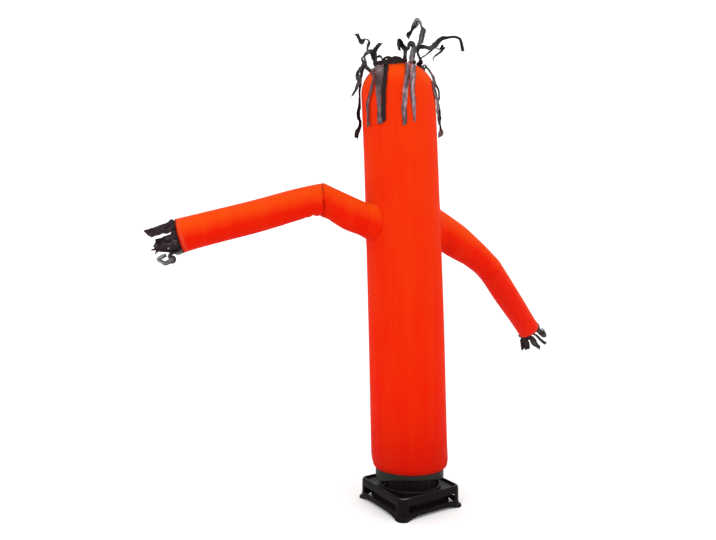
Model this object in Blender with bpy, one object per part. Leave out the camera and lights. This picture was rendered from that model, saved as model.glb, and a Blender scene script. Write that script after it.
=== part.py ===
"""Inflatable air dancer: a tall cloth tube with two sleeves and a ribbon crown, standing on its blower.

Metres, +Z up. The origin is on the floor at the middle of the blower stand. The sleeves reach out along X.
The cloth is thin hollow shells, open where the air goes in and out.
"""
import math

import bmesh
import bpy
import numpy as np

# ---- driving dimensions ----
GAP = 0.0003               # running gap between neighbouring pieces
CLOTH = 0.002              # cloth wall, with its coating and seams
RIBBON_THICK = 0.0014

TUBE_RADIUS = 0.1635       # upper part of the tube
TUBE_BELLY = 0.0075        # extra radius low down, where the pressure is highest
HEM_Z = 0.162              # mean height of the hem
HEM_SAG = 0.008            # how far the hem hangs low at its two sides
HEM_BAND = 0.007           # height of the band that grips the collar
HEM_RISE = 0.048           # height over which the tube swells out above the band
SHOULDER_Z = 1.803         # where the rounded top begins
DOME_HEIGHT = 0.138
DOME_POWER = 2.1           # 2 is an ellipse, more is boxier
LEAN = 0.063               # how far the top leans towards -X
LEAN_Z = 0.210             # the tube stands straight up to here
LEAN_CURL = 0.012          # the extra bend of the last stretch
TUBE_SIDES = 40

COLLAR_RADIUS = 0.1515     # smooth lip that the hem grips
DRUM_RADIUS = 0.126        # ribbed drum below the lip
RING_RADIUS = 0.139         # outside of the bead round the drum's foot
DUCT_WALL = 0.004
LIP_Z = (0.147, 0.205)     # lower and upper edge of the lip
DUCT_FOOT_Z = 0.028
DRUM_RIBS = 24
RIB_HEIGHT = 0.003
RIB_FOOT_Z = 0.094

STAND_HALF = 0.1625        # half the width over the corner posts
STAND_CORNER = 0.032       # radius of the corners
STAND_TOP = 0.090
STAND_WALL = 0.004
RIM_WIDTH = 0.017          # the rim beam round the deck
RIM_BOTTOM = 0.062
DECK_Z = 0.081
FOOT_FLARE = 0.010
FOOT_SHARE = 0.98          # where along a side the arch of the lower rail begins
FOOT_POWER = 5.0           # how sharply it rises there
ARCH_RISE = 0.012          # how far the lower rails arch up between the feet
WINDOW_HALF = 0.126        # half the length of the long windows
WINDOW_ROUND = 0.012
WINDOW_Z = (0.030, 0.060)
RING_POINTS = 48           # points of each of the stand's rings
KNOB_RADIUS = 0.008
KNOB_Z = 0.106
KNOB_COUNT = 3
KNOB_TURN_DEG = -57.5      # a rib's middle, so that the knob seats on it
STAND_TURN_DEG = -5.5      # the stand's sides are turned this far from the sleeves' line

FRONT_TURN = math.radians(-37.0)   # the dancer's front, turned from -Y
ROOT_RING = 0.105          # ring seam that the hanging ribbons are sewn to
INNER_RING = 0.091         # ring seam of the ribbons that the air lifts
ROOT_CLEAR = 0.0005        # clearance of a hanging ribbon at its seam
HANG_CLEAR = 0.0024        # and how much more it clears the wall further down
ROOT_RISE = 0.010          # a lifted ribbon first stands up this far
ROOT_LIFT = 0.0004         # height of a lifted ribbon's end over its seam

# Sleeves. Each row is one section: x, y, z of its centre and its radius.
LEFT_UPPER = (
    # x, y, z, radius
    (-0.080, 0.010, 1.215, 0.074),
    (-0.185, 0.029, 1.240, 0.072),
    (-0.240, 0.039, 1.260, 0.066),
    (-0.330, 0.056, 1.293, 0.064),
    (-0.426, 0.070, 1.328, 0.0635),
)
LEFT_FORE = (
    (-0.426, 0.070, 1.328, 0.0635),
    (-0.500, 0.074, 1.309, 0.0590),
    (-0.717, 0.084, 1.241, 0.0620),
    (-1.008, 0.098, 1.155, 0.0605),
)
RIGHT_UPPER = (
    (0.050, -0.004, 1.285, 0.080),
    (0.135, -0.013, 1.240, 0.080),
    (0.200, -0.022, 1.208, 0.079),
    (0.267, -0.030, 1.174, 0.078),
    (0.384, -0.041, 1.112, 0.067),
    (0.492, -0.042, 1.047, 0.0625),
)
RIGHT_FORE = (
    (0.492, -0.042, 1.047, 0.0625),
    (0.745, 0.020, 0.871, 0.0615),
    (0.995, 0.082, 0.697, 0.0600),
)
SLEEVE_SIDES = 24
FRINGE_STRIPS = 12
FRINGE_BAND = 0.012

# Hanging ribbons. Angles go round from the front, positive to the right as seen from the front, in degrees.
HANGING = (
    # name, angle at the seam, angle at the tip, length, width, stand-off of the tip, sway
    ("ribbon_hang_01", -64, -38, 0.292, 0.028, 0.004, 0.000),
    ("ribbon_hang_02", -44, -27, 0.282, 0.026, 0.004, 0.000),
    ("ribbon_hang_03", -86, -60, 0.286, 0.020, 0.006, 0.004),
    ("ribbon_hang_04", 9, 0, 0.298, 0.028, 0.004, 0.002),
    ("ribbon_hang_05", 27, 14, 0.280, 0.027, 0.004, 0.001),
    ("ribbon_hang_06", 64, 82, 0.270, 0.024, 0.010, 0.007),
    ("ribbon_hang_07", 82, 96, 0.305, 0.024, 0.016, 0.006),
    ("ribbon_hang_08", -107, -95, 0.318, 0.024, 0.026, 0.008),
    ("ribbon_hang_09", 112, 118, 0.300, 0.026, 0.006, 0.004),
    ("ribbon_hang_10", 138, 141, 0.315, 0.028, 0.004, 0.003),
    ("ribbon_hang_11", 165, 163, 0.290, 0.027, 0.008, 0.004),
    ("ribbon_hang_12", -168, -172, 0.310, 0.028, 0.004, 0.003),
    ("ribbon_hang_13", -146, -143, 0.295, 0.026, 0.006, 0.004),
    ("ribbon_hang_14", -127, -124, 0.305, 0.026, 0.008, 0.003),
)

# Lifted ribbons. The points are in centimetres from the top of the crown: across to the right,
# out to the front, and up.
LIFTED = (
    # name, angle at the seam, width, twist in degrees, points (across, front, up)
    ("ribbon_lift_01", -72, 0.015, 40,
     ((-11.6, 2.5, 2.2), (-13.4, 0.5, 6.6), (-12.6, -1.0, 10.0), (-16.0, 0.0, 10.2), (-19.0, 2.5, 12.2))),
    ("ribbon_lift_02", -54, 0.024, -30,
     ((-10.4, 6.8, -0.2), (-11.4, 6.8, 1.8), (-9.8, 5.0, 4.4), (-7.2, 3.2, 8.0))),
    ("ribbon_lift_03", -90, 0.018, 60,
     ((-11.5, 3.4, -0.8), (-14.4, 5.0, 1.0), (-16.2, 5.4, -1.6), (-17.6, 6.0, -7.4), (-18.0, 6.0, -11.8),
      (-20.2, 7.0, -16.7))),
    ("ribbon_lift_04", -34, 0.012, 0,
     ((-6.6, 8.6, 0.0), (-8.4, 8.9, 0.4), (-9.6, 9.0, -1.6))),
    ("ribbon_lift_05", -6, 0.016, 0,
     ((-1.0, 9.4, -0.4), (-4.0, 9.3, -1.0), (-6.2, 9.6, -2.6))),
    ("ribbon_lift_06", 12, 0.016, 50,
     ((2.2, 9.0, 1.0), (-0.2, 8.4, 6.2), (1.6, 7.2, 5.2), (3.7, 6.8, 2.6))),
    ("ribbon_lift_07", 30, 0.026, 10,
     ((5.0, 9.4, 1.4), (5.3, 10.2, 4.2), (6.4, 11.8, 3.4), (6.0, 11.9, 0.2), (5.8, 11.8, -1.6))),
    ("ribbon_lift_08", 50, 0.020, 70,
     ((8.0, 4.8, 1.2), (8.6, 2.8, 6.0), (10.0, 2.0, 10.5), (10.6, 2.0, 14.8), (9.2, 2.4, 17.8), (6.4, 3.4, 14.2),
      (4.3, 5.0, 10.1))),
    ("ribbon_lift_09", 70, 0.020, 80,
     ((10.2, 4.2, 2.4), (11.4, 4.4, 4.8), (14.8, 4.0, 5.6), (18.6, 2.0, 9.8), (24.2, 0.0, 12.0),
      (27.4, 1.0, 9.6), (28.4, 2.0, 4.8))),
    ("ribbon_lift_10", 90, 0.014, 60,
     ((12.8, 4.6, 0.4), (15.5, 6.2, 3.0), (18.0, 5.6, 5.2), (20.0, 4.6, 6.8), (18.4, 4.2, 3.6),
      (16.0, 5.2, 0.0))),
    ("ribbon_lift_11", 128, 0.020, 30,
     ((9.4, -8.6, 1.0), (11.4, -11.6, 3.6), (13.0, -14.6, 2.4), (13.8, -16.6, -3.0))),
    ("ribbon_lift_12", 176, 0.022, -40,
     ((1.4, -11.8, 1.6), (-0.6, -14.2, 4.2), (-3.6, -16.0, 3.4), (-5.4, -17.2, -1.6))),
    ("ribbon_lift_13", -138, 0.018, 50,
     ((-7.4, -9.4, 1.4), (-10.4, -11.4, 3.8), (-13.4, -12.0, 1.2), (-14.8, -12.6, -5.0))),
)

# Strips of each cuff's fringe, going round the cuff: how far each spreads, droops and how long it is.
FRINGE_ROWS = (
    # spread, droop, length
    (0.07, 0.10, 0.085),
    (0.18, 0.16, 0.100),
    (0.03, 0.22, 0.090),
    (0.21, 0.12, 0.078),
    (0.08, 0.26, 0.098),
    (0.24, 0.18, 0.106),
    (0.06, 0.24, 0.088),
    (0.20, 0.14, 0.102),
    (0.10, 0.20, 0.080),
    (0.22, 0.24, 0.095),
    (0.04, 0.12, 0.104),
    (0.17, 0.20, 0.090),
)


# ---- scene and materials ----
def clear_scene():
    for obj in list(bpy.data.objects):
        bpy.data.objects.remove(obj, do_unlink=True)


def make_material(name, colour, roughness, metallic=0.0):
    mat = bpy.data.materials.new(name)
    mat.use_nodes = True
    shader = mat.node_tree.nodes["Principled BSDF"]
    shader.inputs["Base Color"].default_value = (*colour, 1.0)
    shader.inputs["Roughness"].default_value = roughness
    shader.inputs["Metallic"].default_value = metallic
    return mat


# ---- mesh helpers ----
def add_object(name, verts, faces, mat, sharp_deg=40.0):
    """Make an object from points and faces, with its normals pointing out and smooth round faces."""
    mesh = bpy.data.meshes.new(name)
    mesh.from_pydata([tuple(v) for v in verts], [], [tuple(int(i) for i in f) for f in faces])
    soup = bmesh.new()
    soup.from_mesh(mesh)
    bmesh.ops.recalc_face_normals(soup, faces=soup.faces)
    soup.to_mesh(mesh)
    soup.free()
    mesh.shade_smooth()
    mesh.set_sharp_from_angle(angle=math.radians(sharp_deg))
    if mat:
        mesh.materials.append(mat)
    obj = bpy.data.objects.new(name, mesh)
    bpy.context.scene.collection.objects.link(obj)
    return obj


def ring_faces(first, second, count):
    """Quads between two rings of vertices that start at these indices."""
    return [(first + i, first + (i + 1) % count, second + (i + 1) % count, second + i) for i in range(count)]


def loft(rings, joined=False, poles=(None, None)):
    """Faces between rings of equal counts: joined into a torus, closed by pole points, or with flat ends."""
    rings = np.asarray(rings)
    count = rings.shape[1]
    verts = [p for ring in rings for p in ring]
    faces = []
    for i in range(len(rings) - 1):
        faces += ring_faces(i * count, (i + 1) * count, count)
    if joined:
        faces += ring_faces((len(rings) - 1) * count, 0, count)
        return verts, faces
    for pole, start in ((poles[0], 0), (poles[1], (len(rings) - 1) * count)):
        if pole is None:
            faces.append(tuple(range(start, start + count)))
        else:
            verts.append(pole)
            tip = len(verts) - 1
            faces += [(start + i, start + (i + 1) % count, tip) for i in range(count)]
    return verts, faces


def cutter(name, verts, faces):
    obj = add_object(name, verts, faces, None)
    obj.hide_render = True
    obj.display_type = "WIRE"
    return obj


def cut(target, tool):
    mod = target.modifiers.new("cut", "BOOLEAN")
    mod.operation = "DIFFERENCE"
    mod.object = tool
    mod.solver = "EXACT"


def solidify(obj, thickness):
    mod = obj.modifiers.new("thickness", "SOLIDIFY")
    mod.thickness = thickness
    mod.offset = 0.0
    mod.use_even_offset = True


def unit(v):
    v = np.asarray(v, float)
    return v / np.linalg.norm(v)


# ---- the tube ----
def axis_x(z):
    """The tube leans towards -X: a straight lean and a late curl, both growing from the collar's top."""
    t = np.clip((np.asarray(z, float) - LEAN_Z) / (SHOULDER_Z + DOME_HEIGHT - LEAN_Z), 0.0, 1.0)
    return -LEAN * t - LEAN_CURL * t ** 4


def wall_radius(z):
    """Straight above, a little fuller low down, and drawn in to the collar at the hem."""
    z = np.asarray(z, float)
    low = np.clip((SHOULDER_Z - z) / (SHOULDER_Z - HEM_Z), 0.0, 1.0)
    full = TUBE_RADIUS + TUBE_BELLY * low ** 1.5
    swell = np.clip((z - HEM_Z - HEM_BAND) / HEM_RISE, 0.0, 1.0)
    grip = fitted_radius(COLLAR_RADIUS, TUBE_SIDES) + CLOTH
    return grip + (full - grip) * np.sqrt(1.0 - (1.0 - swell) ** 2)


def dome_profile(bend, inset):
    """Radii and heights of the rounded top, by the angle up from its shoulder."""
    power = 2.0 / DOME_POWER
    radius = (TUBE_RADIUS - inset) * np.cos(bend) ** power
    return radius, SHOULDER_Z + (DOME_HEIGHT - inset) * np.sin(bend) ** power


def profile(inset):
    """Radii and heights from the hem to the top of the dome, moved in by the inset."""
    z_low = HEM_Z + np.array([0.0, HEM_BAND, 0.011, 0.019, 0.033, HEM_BAND + HEM_RISE])
    z_wall = np.concatenate([z_low, np.linspace(z_low[-1], SHOULDER_Z, 9)[1:]])
    r_dome, z_dome = dome_profile(np.radians([18.0, 34.0, 48.0, 60.0, 71.0, 81.0]), inset)
    return np.concatenate([wall_radius(z_wall) - inset, r_dome]), np.concatenate([z_wall, z_dome])


def tube_rings(inset):
    turn = np.linspace(0.0, 2.0 * math.pi, TUBE_SIDES, endpoint=False)
    sag = HEM_SAG * np.cos(2.0 * (turn - FRONT_TURN))
    rings = []
    for radius, height in zip(*profile(inset)):
        near_hem = max(0.0, 1.0 - (height - HEM_Z) / (HEM_BAND + HEM_RISE))
        rings.append(np.stack([axis_x(height) + radius * np.cos(turn), radius * np.sin(turn),
                               height - sag * near_hem], axis=1))
    top = SHOULDER_Z + DOME_HEIGHT - inset
    return rings, (float(axis_x(top)), 0.0, top)


def build_tube(mat, sleeve_cutters):
    """Outer wall and inner wall, joined round the hem, with a hole for each sleeve."""
    outer, outer_pole = tube_rings(0.0)
    inner, inner_pole = tube_rings(CLOTH)
    verts, faces = loft(inner[::-1] + outer, poles=(inner_pole, outer_pole))
    tube = add_object("body_tube", verts, faces, mat)
    for tool in sleeve_cutters:
        cut(tube, tool)
    return tube


def tube_form(name, inset):
    """The tube as a filled form, for trimming the sleeves' roots against it."""
    rings, pole = tube_rings(inset)
    verts, faces = loft(rings, poles=(None, pole))
    return cutter(name, verts, faces)


# ---- sleeves ----
def sleeve_rings(rows, fold, end_normals, inset):
    """Rings of a sleeve. The end rings lie in the planes with the given normals, or square across."""
    rows = np.asarray(rows, float)
    centres = rows[:, :3]
    steps = np.diff(centres, axis=0)
    steps /= np.linalg.norm(steps, axis=1)[:, None]
    turn = np.linspace(0.0, 2.0 * math.pi, SLEEVE_SIDES, endpoint=False)
    rings = []
    for i, centre in enumerate(centres):
        before = steps[max(i - 1, 0)]
        after = steps[min(i, len(steps) - 1)]
        at_end = i in (0, len(centres) - 1)
        along = (after if i == 0 else before) if at_end else unit(before + after)
        across = unit(fold - np.dot(fold, along) * along)
        other = np.cross(along, across)
        radius = rows[i, 3] - inset
        ring = centre + radius * (np.outer(np.cos(turn), across) + np.outer(np.sin(turn), other))
        normal = end_normals[0] if i == 0 else end_normals[1] if i == len(centres) - 1 else None
        if normal is not None:
            slide = ((ring - centre) @ normal) / np.dot(along, normal)
            ring = ring - np.outer(slide, along)
        rings.append(ring)
    return rings


def build_sleeve(name, rows, fold, end_normals, mat):
    """A sleeve as one hollow shell, open at both ends."""
    outer = sleeve_rings(rows, fold, end_normals, 0.0)
    inner = sleeve_rings(rows, fold, end_normals, CLOTH)
    verts, faces = loft(outer + inner[::-1], joined=True)
    return add_object(name, verts, faces, mat)


def build_arm(side, upper, fore, mat):
    """Both sleeves of one arm, mitred at the elbow. Returns the cutter of its hole in the tube."""
    upper = np.array(upper)
    fore = np.array(fore)
    into = unit(upper[-1, :3] - upper[-2, :3])
    out = unit(fore[1, :3] - fore[0, :3])
    mitre = unit(into + out)
    fold = unit(np.cross(into, out))
    upper[-1, :3] -= mitre * GAP / 2.0
    fore[0, :3] += mitre * GAP / 2.0
    upper_arm = build_sleeve(side + "_upper_arm", upper, fold, (None, mitre), mat)
    forearm = build_sleeve(side + "_forearm", fore, fold, (mitre, None), mat)
    hole = cutter(side + "_sleeve_hole", *loft(sleeve_rings(upper[:3], fold, (None, None), CLOTH)))
    return upper_arm, forearm, hole


# ---- fringes ----
def build_fringe(name, fore, mat):
    """One comb round the open cuff: a band, and strips that run on from it, spread and droop."""
    rows = np.asarray(fore, float)
    along = unit(rows[-1, :3] - rows[-2, :3])
    side = unit(np.cross(along, (0.0, 0.0, 1.0)))
    up = np.cross(side, along)
    start = rows[-1, :3] + along * GAP
    radius = rows[-1, 3] - CLOTH / 2.0
    columns = 3
    total = FRINGE_STRIPS * columns
    strip_turn = 2.0 * math.pi / FRINGE_STRIPS
    place = np.array([0.0, 0.46, 0.92])
    turn = np.concatenate([(i + place) * strip_turn for i in range(FRINGE_STRIPS)])
    outward = np.outer(np.cos(turn), side) + np.outer(np.sin(turn), up)
    verts = [*(start + radius * outward), *(start + along * FRINGE_BAND + radius * outward)]
    faces = ring_faces(0, total, total)
    steps = 5
    for i, (spread, droop, length) in enumerate(FRINGE_ROWS):
        own = slice(i * columns, (i + 1) * columns)
        middle = outward[i * columns + 1]
        last = [total + i * columns + c for c in range(columns)]
        for k in range(1, steps + 1):
            t = k / steps
            run = length * t
            centre = along * run + middle * (spread * length * t * t)
            centre = centre - np.array([0.0, 0.0, droop * length * t * t])
            narrow = 1.0 - 0.22 * t
            base = start + along * FRINGE_BAND + radius * (middle + narrow * (outward[own] - middle))
            first = len(verts)
            verts += list(base + centre)
            row = [first + c for c in range(columns)]
            faces += [(last[c], last[c + 1], row[c + 1], row[c]) for c in range(columns - 1)]
            last = row
    fringe = add_object(name, verts, faces, mat)
    solidify(fringe, RIBBON_THICK)
    return fringe


# ---- ribbons ----
def front_frame():
    """Unit vectors across to the right and out to the front, as seen from the dancer's front."""
    across = np.array([math.cos(FRONT_TURN), math.sin(FRONT_TURN), 0.0])
    front = np.array([math.sin(FRONT_TURN), -math.cos(FRONT_TURN), 0.0])
    return across, front


def spline(points, count):
    """A smooth curve through the points: Catmull-Rom, with each knot step the root of the distance."""
    pts = np.asarray(points, float)
    pts = np.vstack([2.0 * pts[0] - pts[1], pts, 2.0 * pts[-1] - pts[-2]])
    knots = np.concatenate([[0.0], np.cumsum(np.linalg.norm(np.diff(pts, axis=0), axis=1) ** 0.5)])
    at = np.linspace(knots[1], knots[-2], count)
    i = np.clip(np.searchsorted(knots, at, side="right") - 1, 1, len(pts) - 3)

    def blend(left, right, first, last):
        share = ((at - knots[first]) / (knots[last] - knots[first]))[:, None]
        return left * (1.0 - share) + right * share

    a, b, c, d = pts[i - 1], pts[i], pts[i + 1], pts[i + 2]
    ab, bc, cd = blend(a, b, i - 1, i), blend(b, c, i, i + 1), blend(c, d, i + 1, i + 2)
    return blend(blend(ab, bc, i - 1, i + 1), blend(bc, cd, i, i + 2), i, i + 1)


def strip_object(name, path, wide, width, mat):
    """A strip of the given width along the path, its width lying in the given directions."""
    half = np.asarray(wide) * (width / 2.0)
    verts = [p for pair in zip(path - half, path + half) for p in pair]
    faces = [(2 * i, 2 * i + 1, 2 * i + 3, 2 * i + 2) for i in range(len(path) - 1)]
    obj = add_object(name, verts, faces, mat)
    solidify(obj, RIBBON_THICK)
    return obj


def seam_bend(ring):
    """The dome's angle at this distance from its middle."""
    return math.acos((ring / TUBE_RADIUS) ** (DOME_POWER / 2.0))


def build_hanging(mat):
    """Each ribbon runs from the ring seam over the shoulder and down the tube, just clear of the wall."""
    across, front = front_frame()
    dome_r, dome_z = dome_profile(np.linspace(seam_bend(ROOT_RING), 0.0, 30), 0.0)
    wall_z = SHOULDER_Z - np.linspace(0.01, 0.4, 30)
    wall_r = np.concatenate([dome_r, wall_radius(wall_z)])
    wall_z = np.concatenate([dome_z, wall_z])
    travel = np.concatenate([[0.0], np.cumsum(np.hypot(np.diff(wall_r), np.diff(wall_z)))])
    for name, seam_deg, tip_deg, length, width, stand_off, sway in HANGING:
        t = np.linspace(0.0, 1.0, 12)
        radius = np.interp(t * length, travel, wall_r)
        height = np.interp(t * length, travel, wall_z)
        angle = np.radians(tip_deg + (seam_deg - tip_deg) * (1.0 - t) ** 3)
        angle = angle + sway / TUBE_RADIUS * np.sin(9.0 * t)
        out = np.outer(np.sin(angle), across) + np.outer(np.cos(angle), front)
        slope = np.gradient(radius, height)
        off = RIBBON_THICK / 2.0 + ROOT_CLEAR + HANG_CLEAR * np.minimum(1.0, 6.0 * t) + stand_off * t * t
        off = off / np.sqrt(1.0 + slope ** 2)
        path = out * (radius + off)[:, None]
        path[:, 0] += axis_x(height)
        path[:, 2] = height - slope * off
        strip_object(name, path, np.cross(out, (0.0, 0.0, 1.0)), width, mat)


def build_lifted(mat):
    """Each ribbon starts on the inner ring seam and follows its points through the air."""
    across, front = front_frame()
    top_z = SHOULDER_Z + DOME_HEIGHT
    top = np.array([float(axis_x(top_z)), 0.0, top_z])
    seam_z = float(dome_profile(seam_bend(INNER_RING), 0.0)[1])
    for name, seam_deg, width, twist_deg, points in LIFTED:
        angle = math.radians(seam_deg)
        out = across * math.sin(angle) + front * math.cos(angle)
        root = out * INNER_RING + np.array([float(axis_x(seam_z)), 0.0, seam_z + ROOT_LIFT])
        rise = root + (0.5 * out + np.array([0.0, 0.0, 0.87])) * ROOT_RISE
        placed = [top + (across * a + front * f + np.array([0.0, 0.0, u])) / 100.0 for a, f, u in points]
        path = spline([root, rise] + placed, 14)
        ahead = np.gradient(path, axis=0)
        ahead /= np.linalg.norm(ahead, axis=1)[:, None]
        wide = [np.cross(out, (0.0, 0.0, 1.0))]
        for step in ahead:
            wide.append(unit(wide[-1] - np.dot(wide[-1], step) * step))
        wide = np.array(wide[1:])
        spin = np.radians(twist_deg) * np.linspace(0.0, 1.0, len(path))[:, None]
        wide = wide * np.cos(spin) + np.cross(ahead, wide) * np.sin(spin)
        strip_object(name, path, wide, width, mat)


# ---- blower stand ----
def square_ring(half, z, flare=0.0, arch=0.0):
    """A square with round corners, as one ring. It flares at the corners and arches up between them."""
    radius = STAND_CORNER + half - STAND_HALF
    straight = half - radius
    arc = np.radians(np.linspace(0.0, 90.0, 6))
    corner = np.stack([straight + radius * np.cos(arc), straight + radius * np.sin(arc)], axis=1)
    run = np.linspace(straight, -straight, 8)[1:-1]
    quarter = np.vstack([corner, np.stack([run, np.full(len(run), half)], axis=1)])
    points = []
    for turn in np.arange(4) * math.pi / 2.0:
        spin = np.array([[math.cos(turn), -math.sin(turn)], [math.sin(turn), math.cos(turn)]])
        points.append(quarter @ spin.T)
    points = np.vstack(points)
    along = np.min(np.abs(points), axis=1) / straight
    rise = arch * np.clip(1.0 - (along / FOOT_SHARE) ** FOOT_POWER, 0.0, 1.0)
    push = 1.0 + flare / half * np.clip(0.35 + 0.65 * along ** 4, 0.0, 1.0)
    return np.column_stack([points * push[:, None], z + rise])


def round_ring(radius, z):
    """A round ring of as many points as a square ring, with its first corner's points at the same place."""
    turn = np.radians(45.0 + (np.arange(RING_POINTS) - 2.5) * 360.0 / RING_POINTS)
    return np.stack([radius * np.cos(turn), radius * np.sin(turn), np.full(RING_POINTS, z)], axis=1)


def fitted_radius(radius, sides):
    """The radius whose flats, on a form of so many sides, clear this radius by the gap."""
    return (radius + GAP) / math.cos(math.pi / sides)


def window_form():
    """A long slot with round ends, standing across the wall on the -Y side."""
    half_height = (WINDOW_Z[1] - WINDOW_Z[0]) / 2.0
    middle = (WINDOW_Z[1] + WINDOW_Z[0]) / 2.0
    arc = np.radians(np.linspace(-80.0, 80.0, 5))
    end = np.stack([WINDOW_HALF - WINDOW_ROUND + WINDOW_ROUND * np.cos(arc), half_height * np.sin(arc)], axis=1)
    end = np.vstack([[end[0, 0] - 0.004, -half_height], end, [end[-1, 0] - 0.004, half_height]])
    outline = np.vstack([end, -end])
    rings = [np.column_stack([outline[:, 0], np.full(len(outline), y), middle + outline[:, 1]])
             for y in (-STAND_HALF - 0.02, -STAND_HALF + 0.009)]
    return loft(rings)


def build_stand(mat):
    """One moulding: flared feet, posts, rim beam and deck, with a window cut through each wall."""
    h = STAND_HALF
    rings = [
        square_ring(h, 0.0, FOOT_FLARE, ARCH_RISE),
        square_ring(h, 0.004, FOOT_FLARE, ARCH_RISE),
        square_ring(h, 0.012, FOOT_FLARE * 0.4, ARCH_RISE * 0.6),
        square_ring(h, 0.025),
        square_ring(h - 0.0005, STAND_TOP - 0.013),
        square_ring(h - 0.003, STAND_TOP - 0.005),
        square_ring(h - RIM_WIDTH * 0.45, STAND_TOP),
        square_ring(h - RIM_WIDTH * 0.7, STAND_TOP),
        square_ring(h - RIM_WIDTH * 0.93, STAND_TOP - 0.003),
        square_ring(h - RIM_WIDTH, DECK_Z),
    ]
    hole = fitted_radius(DRUM_RADIUS, RING_POINTS)
    rings += [round_ring(hole, DECK_Z), round_ring(hole, DECK_Z - STAND_WALL)]
    rings += [
        square_ring(h - RIM_WIDTH, DECK_Z - STAND_WALL),
        square_ring(h - RIM_WIDTH + 0.001, RIM_BOTTOM + 0.002),
        square_ring(h - STAND_WALL, RIM_BOTTOM),
        square_ring(h - STAND_WALL, 0.025),
        square_ring(h - STAND_WALL, 0.012, 0.0, ARCH_RISE * 0.6),
        square_ring(h - 2.0 * STAND_WALL, 0.0, 0.0, ARCH_RISE),
    ]
    stand = add_object("stand", *loft(rings, joined=True), mat)
    verts, faces = window_form()
    for quarter in range(4):
        tool = cutter(f"window_{quarter + 1}", verts, faces)
        tool.rotation_euler = (0.0, 0.0, quarter * math.pi / 2.0)
        cut(stand, tool)
    return stand


def turned(rows, ribs_on=(), sides=72):
    """Rings of a turned form from rows of radius and height. The rows named in ribs_on carry the ribs."""
    turn = np.linspace(0.0, 2.0 * math.pi, sides, endpoint=False)
    rib = np.where(np.arange(sides) % (sides // DRUM_RIBS) < 2, RIB_HEIGHT, 0.0)
    rings = []
    for i, (radius, height) in enumerate(rows):
        r = radius + rib * (i in ribs_on)
        rings.append(np.stack([r * np.cos(turn), r * np.sin(turn), np.full(sides, height)], axis=1))
    return rings


def build_collar(mat):
    """The duct: a smooth wide lip on top, the ribbed drum below it, and a plain pipe through the deck."""
    lip_low, lip_high = LIP_Z
    bore = DRUM_RADIUS - DUCT_WALL
    lip_bore = COLLAR_RADIUS - DUCT_WALL
    rows = (
        (COLLAR_RADIUS - 0.001, lip_high), (COLLAR_RADIUS, lip_high - 0.002), (COLLAR_RADIUS, lip_low),
        (COLLAR_RADIUS - 0.003, lip_low - 0.003), (DRUM_RADIUS, lip_low - 0.005), (DRUM_RADIUS, RIB_FOOT_Z),
        (DRUM_RADIUS, RIB_FOOT_Z - 0.003), (DRUM_RADIUS, DUCT_FOOT_Z), (bore, DUCT_FOOT_Z),
        (bore, lip_low - 0.002), (lip_bore, lip_low + 0.004), (lip_bore, lip_high),
    )
    return add_object("outlet_collar", *loft(turned(rows, ribs_on=(4, 5)), joined=True), mat)


def build_deck_ring(mat):
    """The bead round the drum's foot, resting on the deck."""
    low = DECK_Z + GAP
    inner = fitted_radius(DRUM_RADIUS, RING_POINTS)
    outer = RING_RADIUS
    rows = ((inner, low + 0.0075), (inner + 0.002, low + 0.009), (outer - 0.002, low + 0.0085),
            (outer, low + 0.006), (outer, low), (inner, low))
    return add_object("deck_ring", *loft(turned(rows, sides=RING_POINTS), joined=True), mat)


def build_knobs(mat):
    """Three small domed knobs on the drum, a third of a turn apart, each carried by its own pivot."""
    rows = ((KNOB_RADIUS, 0.0), (KNOB_RADIUS, 0.005), (KNOB_RADIUS * 0.82, 0.0078), (KNOB_RADIUS * 0.45, 0.0096))
    verts, faces = loft(turned(rows, sides=24), poles=(None, (0.0, 0.0, 0.0101)))
    for i in range(KNOB_COUNT):
        pivot = bpy.data.objects.new(f"knob_pivot_{i + 1}", None)
        pivot.rotation_euler = (0.0, 0.0, math.radians(KNOB_TURN_DEG + 360.0 / KNOB_COUNT * i))
        bpy.context.scene.collection.objects.link(pivot)
        knob = add_object(f"collar_knob_{i + 1}", verts, faces, mat)
        knob.parent = pivot
        knob.location = (DRUM_RADIUS + RIB_HEIGHT + GAP, 0.0, KNOB_Z)
        knob.rotation_euler = (0.0, math.pi / 2.0, 0.0)


def main():
    clear_scene()
    cloth = make_material("orange_red_nylon", (0.86, 0.06, 0.01), 0.5)
    ribbon = make_material("charcoal_ribbon", (0.035, 0.032, 0.036), 0.45)
    plastic = make_material("black_plastic", (0.014, 0.012, 0.012), 0.3)
    knob = make_material("dark_knob", (0.03, 0.03, 0.03), 0.2)

    build_stand(plastic)
    build_collar(plastic)
    build_deck_ring(plastic)
    build_knobs(knob)
    for obj in bpy.data.objects:
        if not obj.parent:
            obj.rotation_euler.z += math.radians(STAND_TURN_DEG)

    left_upper, _, left_hole = build_arm("left", LEFT_UPPER, LEFT_FORE, cloth)
    right_upper, _, right_hole = build_arm("right", RIGHT_UPPER, RIGHT_FORE, cloth)
    form = tube_form("tube_form", -GAP)
    cut(left_upper, form)
    cut(right_upper, form)
    build_tube(cloth, (left_hole, right_hole))

    build_fringe("left_hand_fringe", LEFT_FORE, ribbon)
    build_fringe("right_hand_fringe", RIGHT_FORE, ribbon)
    build_hanging(ribbon)
    build_lifted(ribbon)


main()
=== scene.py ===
"""Inflatable air dancer, the model to be seen: cloth tube, sleeves, fringes, ribbons and blower stand.

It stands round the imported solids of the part, in the same frame: metres, +Z up, the origin on the floor at
the middle of the blower stand. Every surface is a grid of points worked out as whole arrays.
"""

import math

import bmesh
import bpy
import numpy as np
from mathutils import Matrix, Vector


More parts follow.
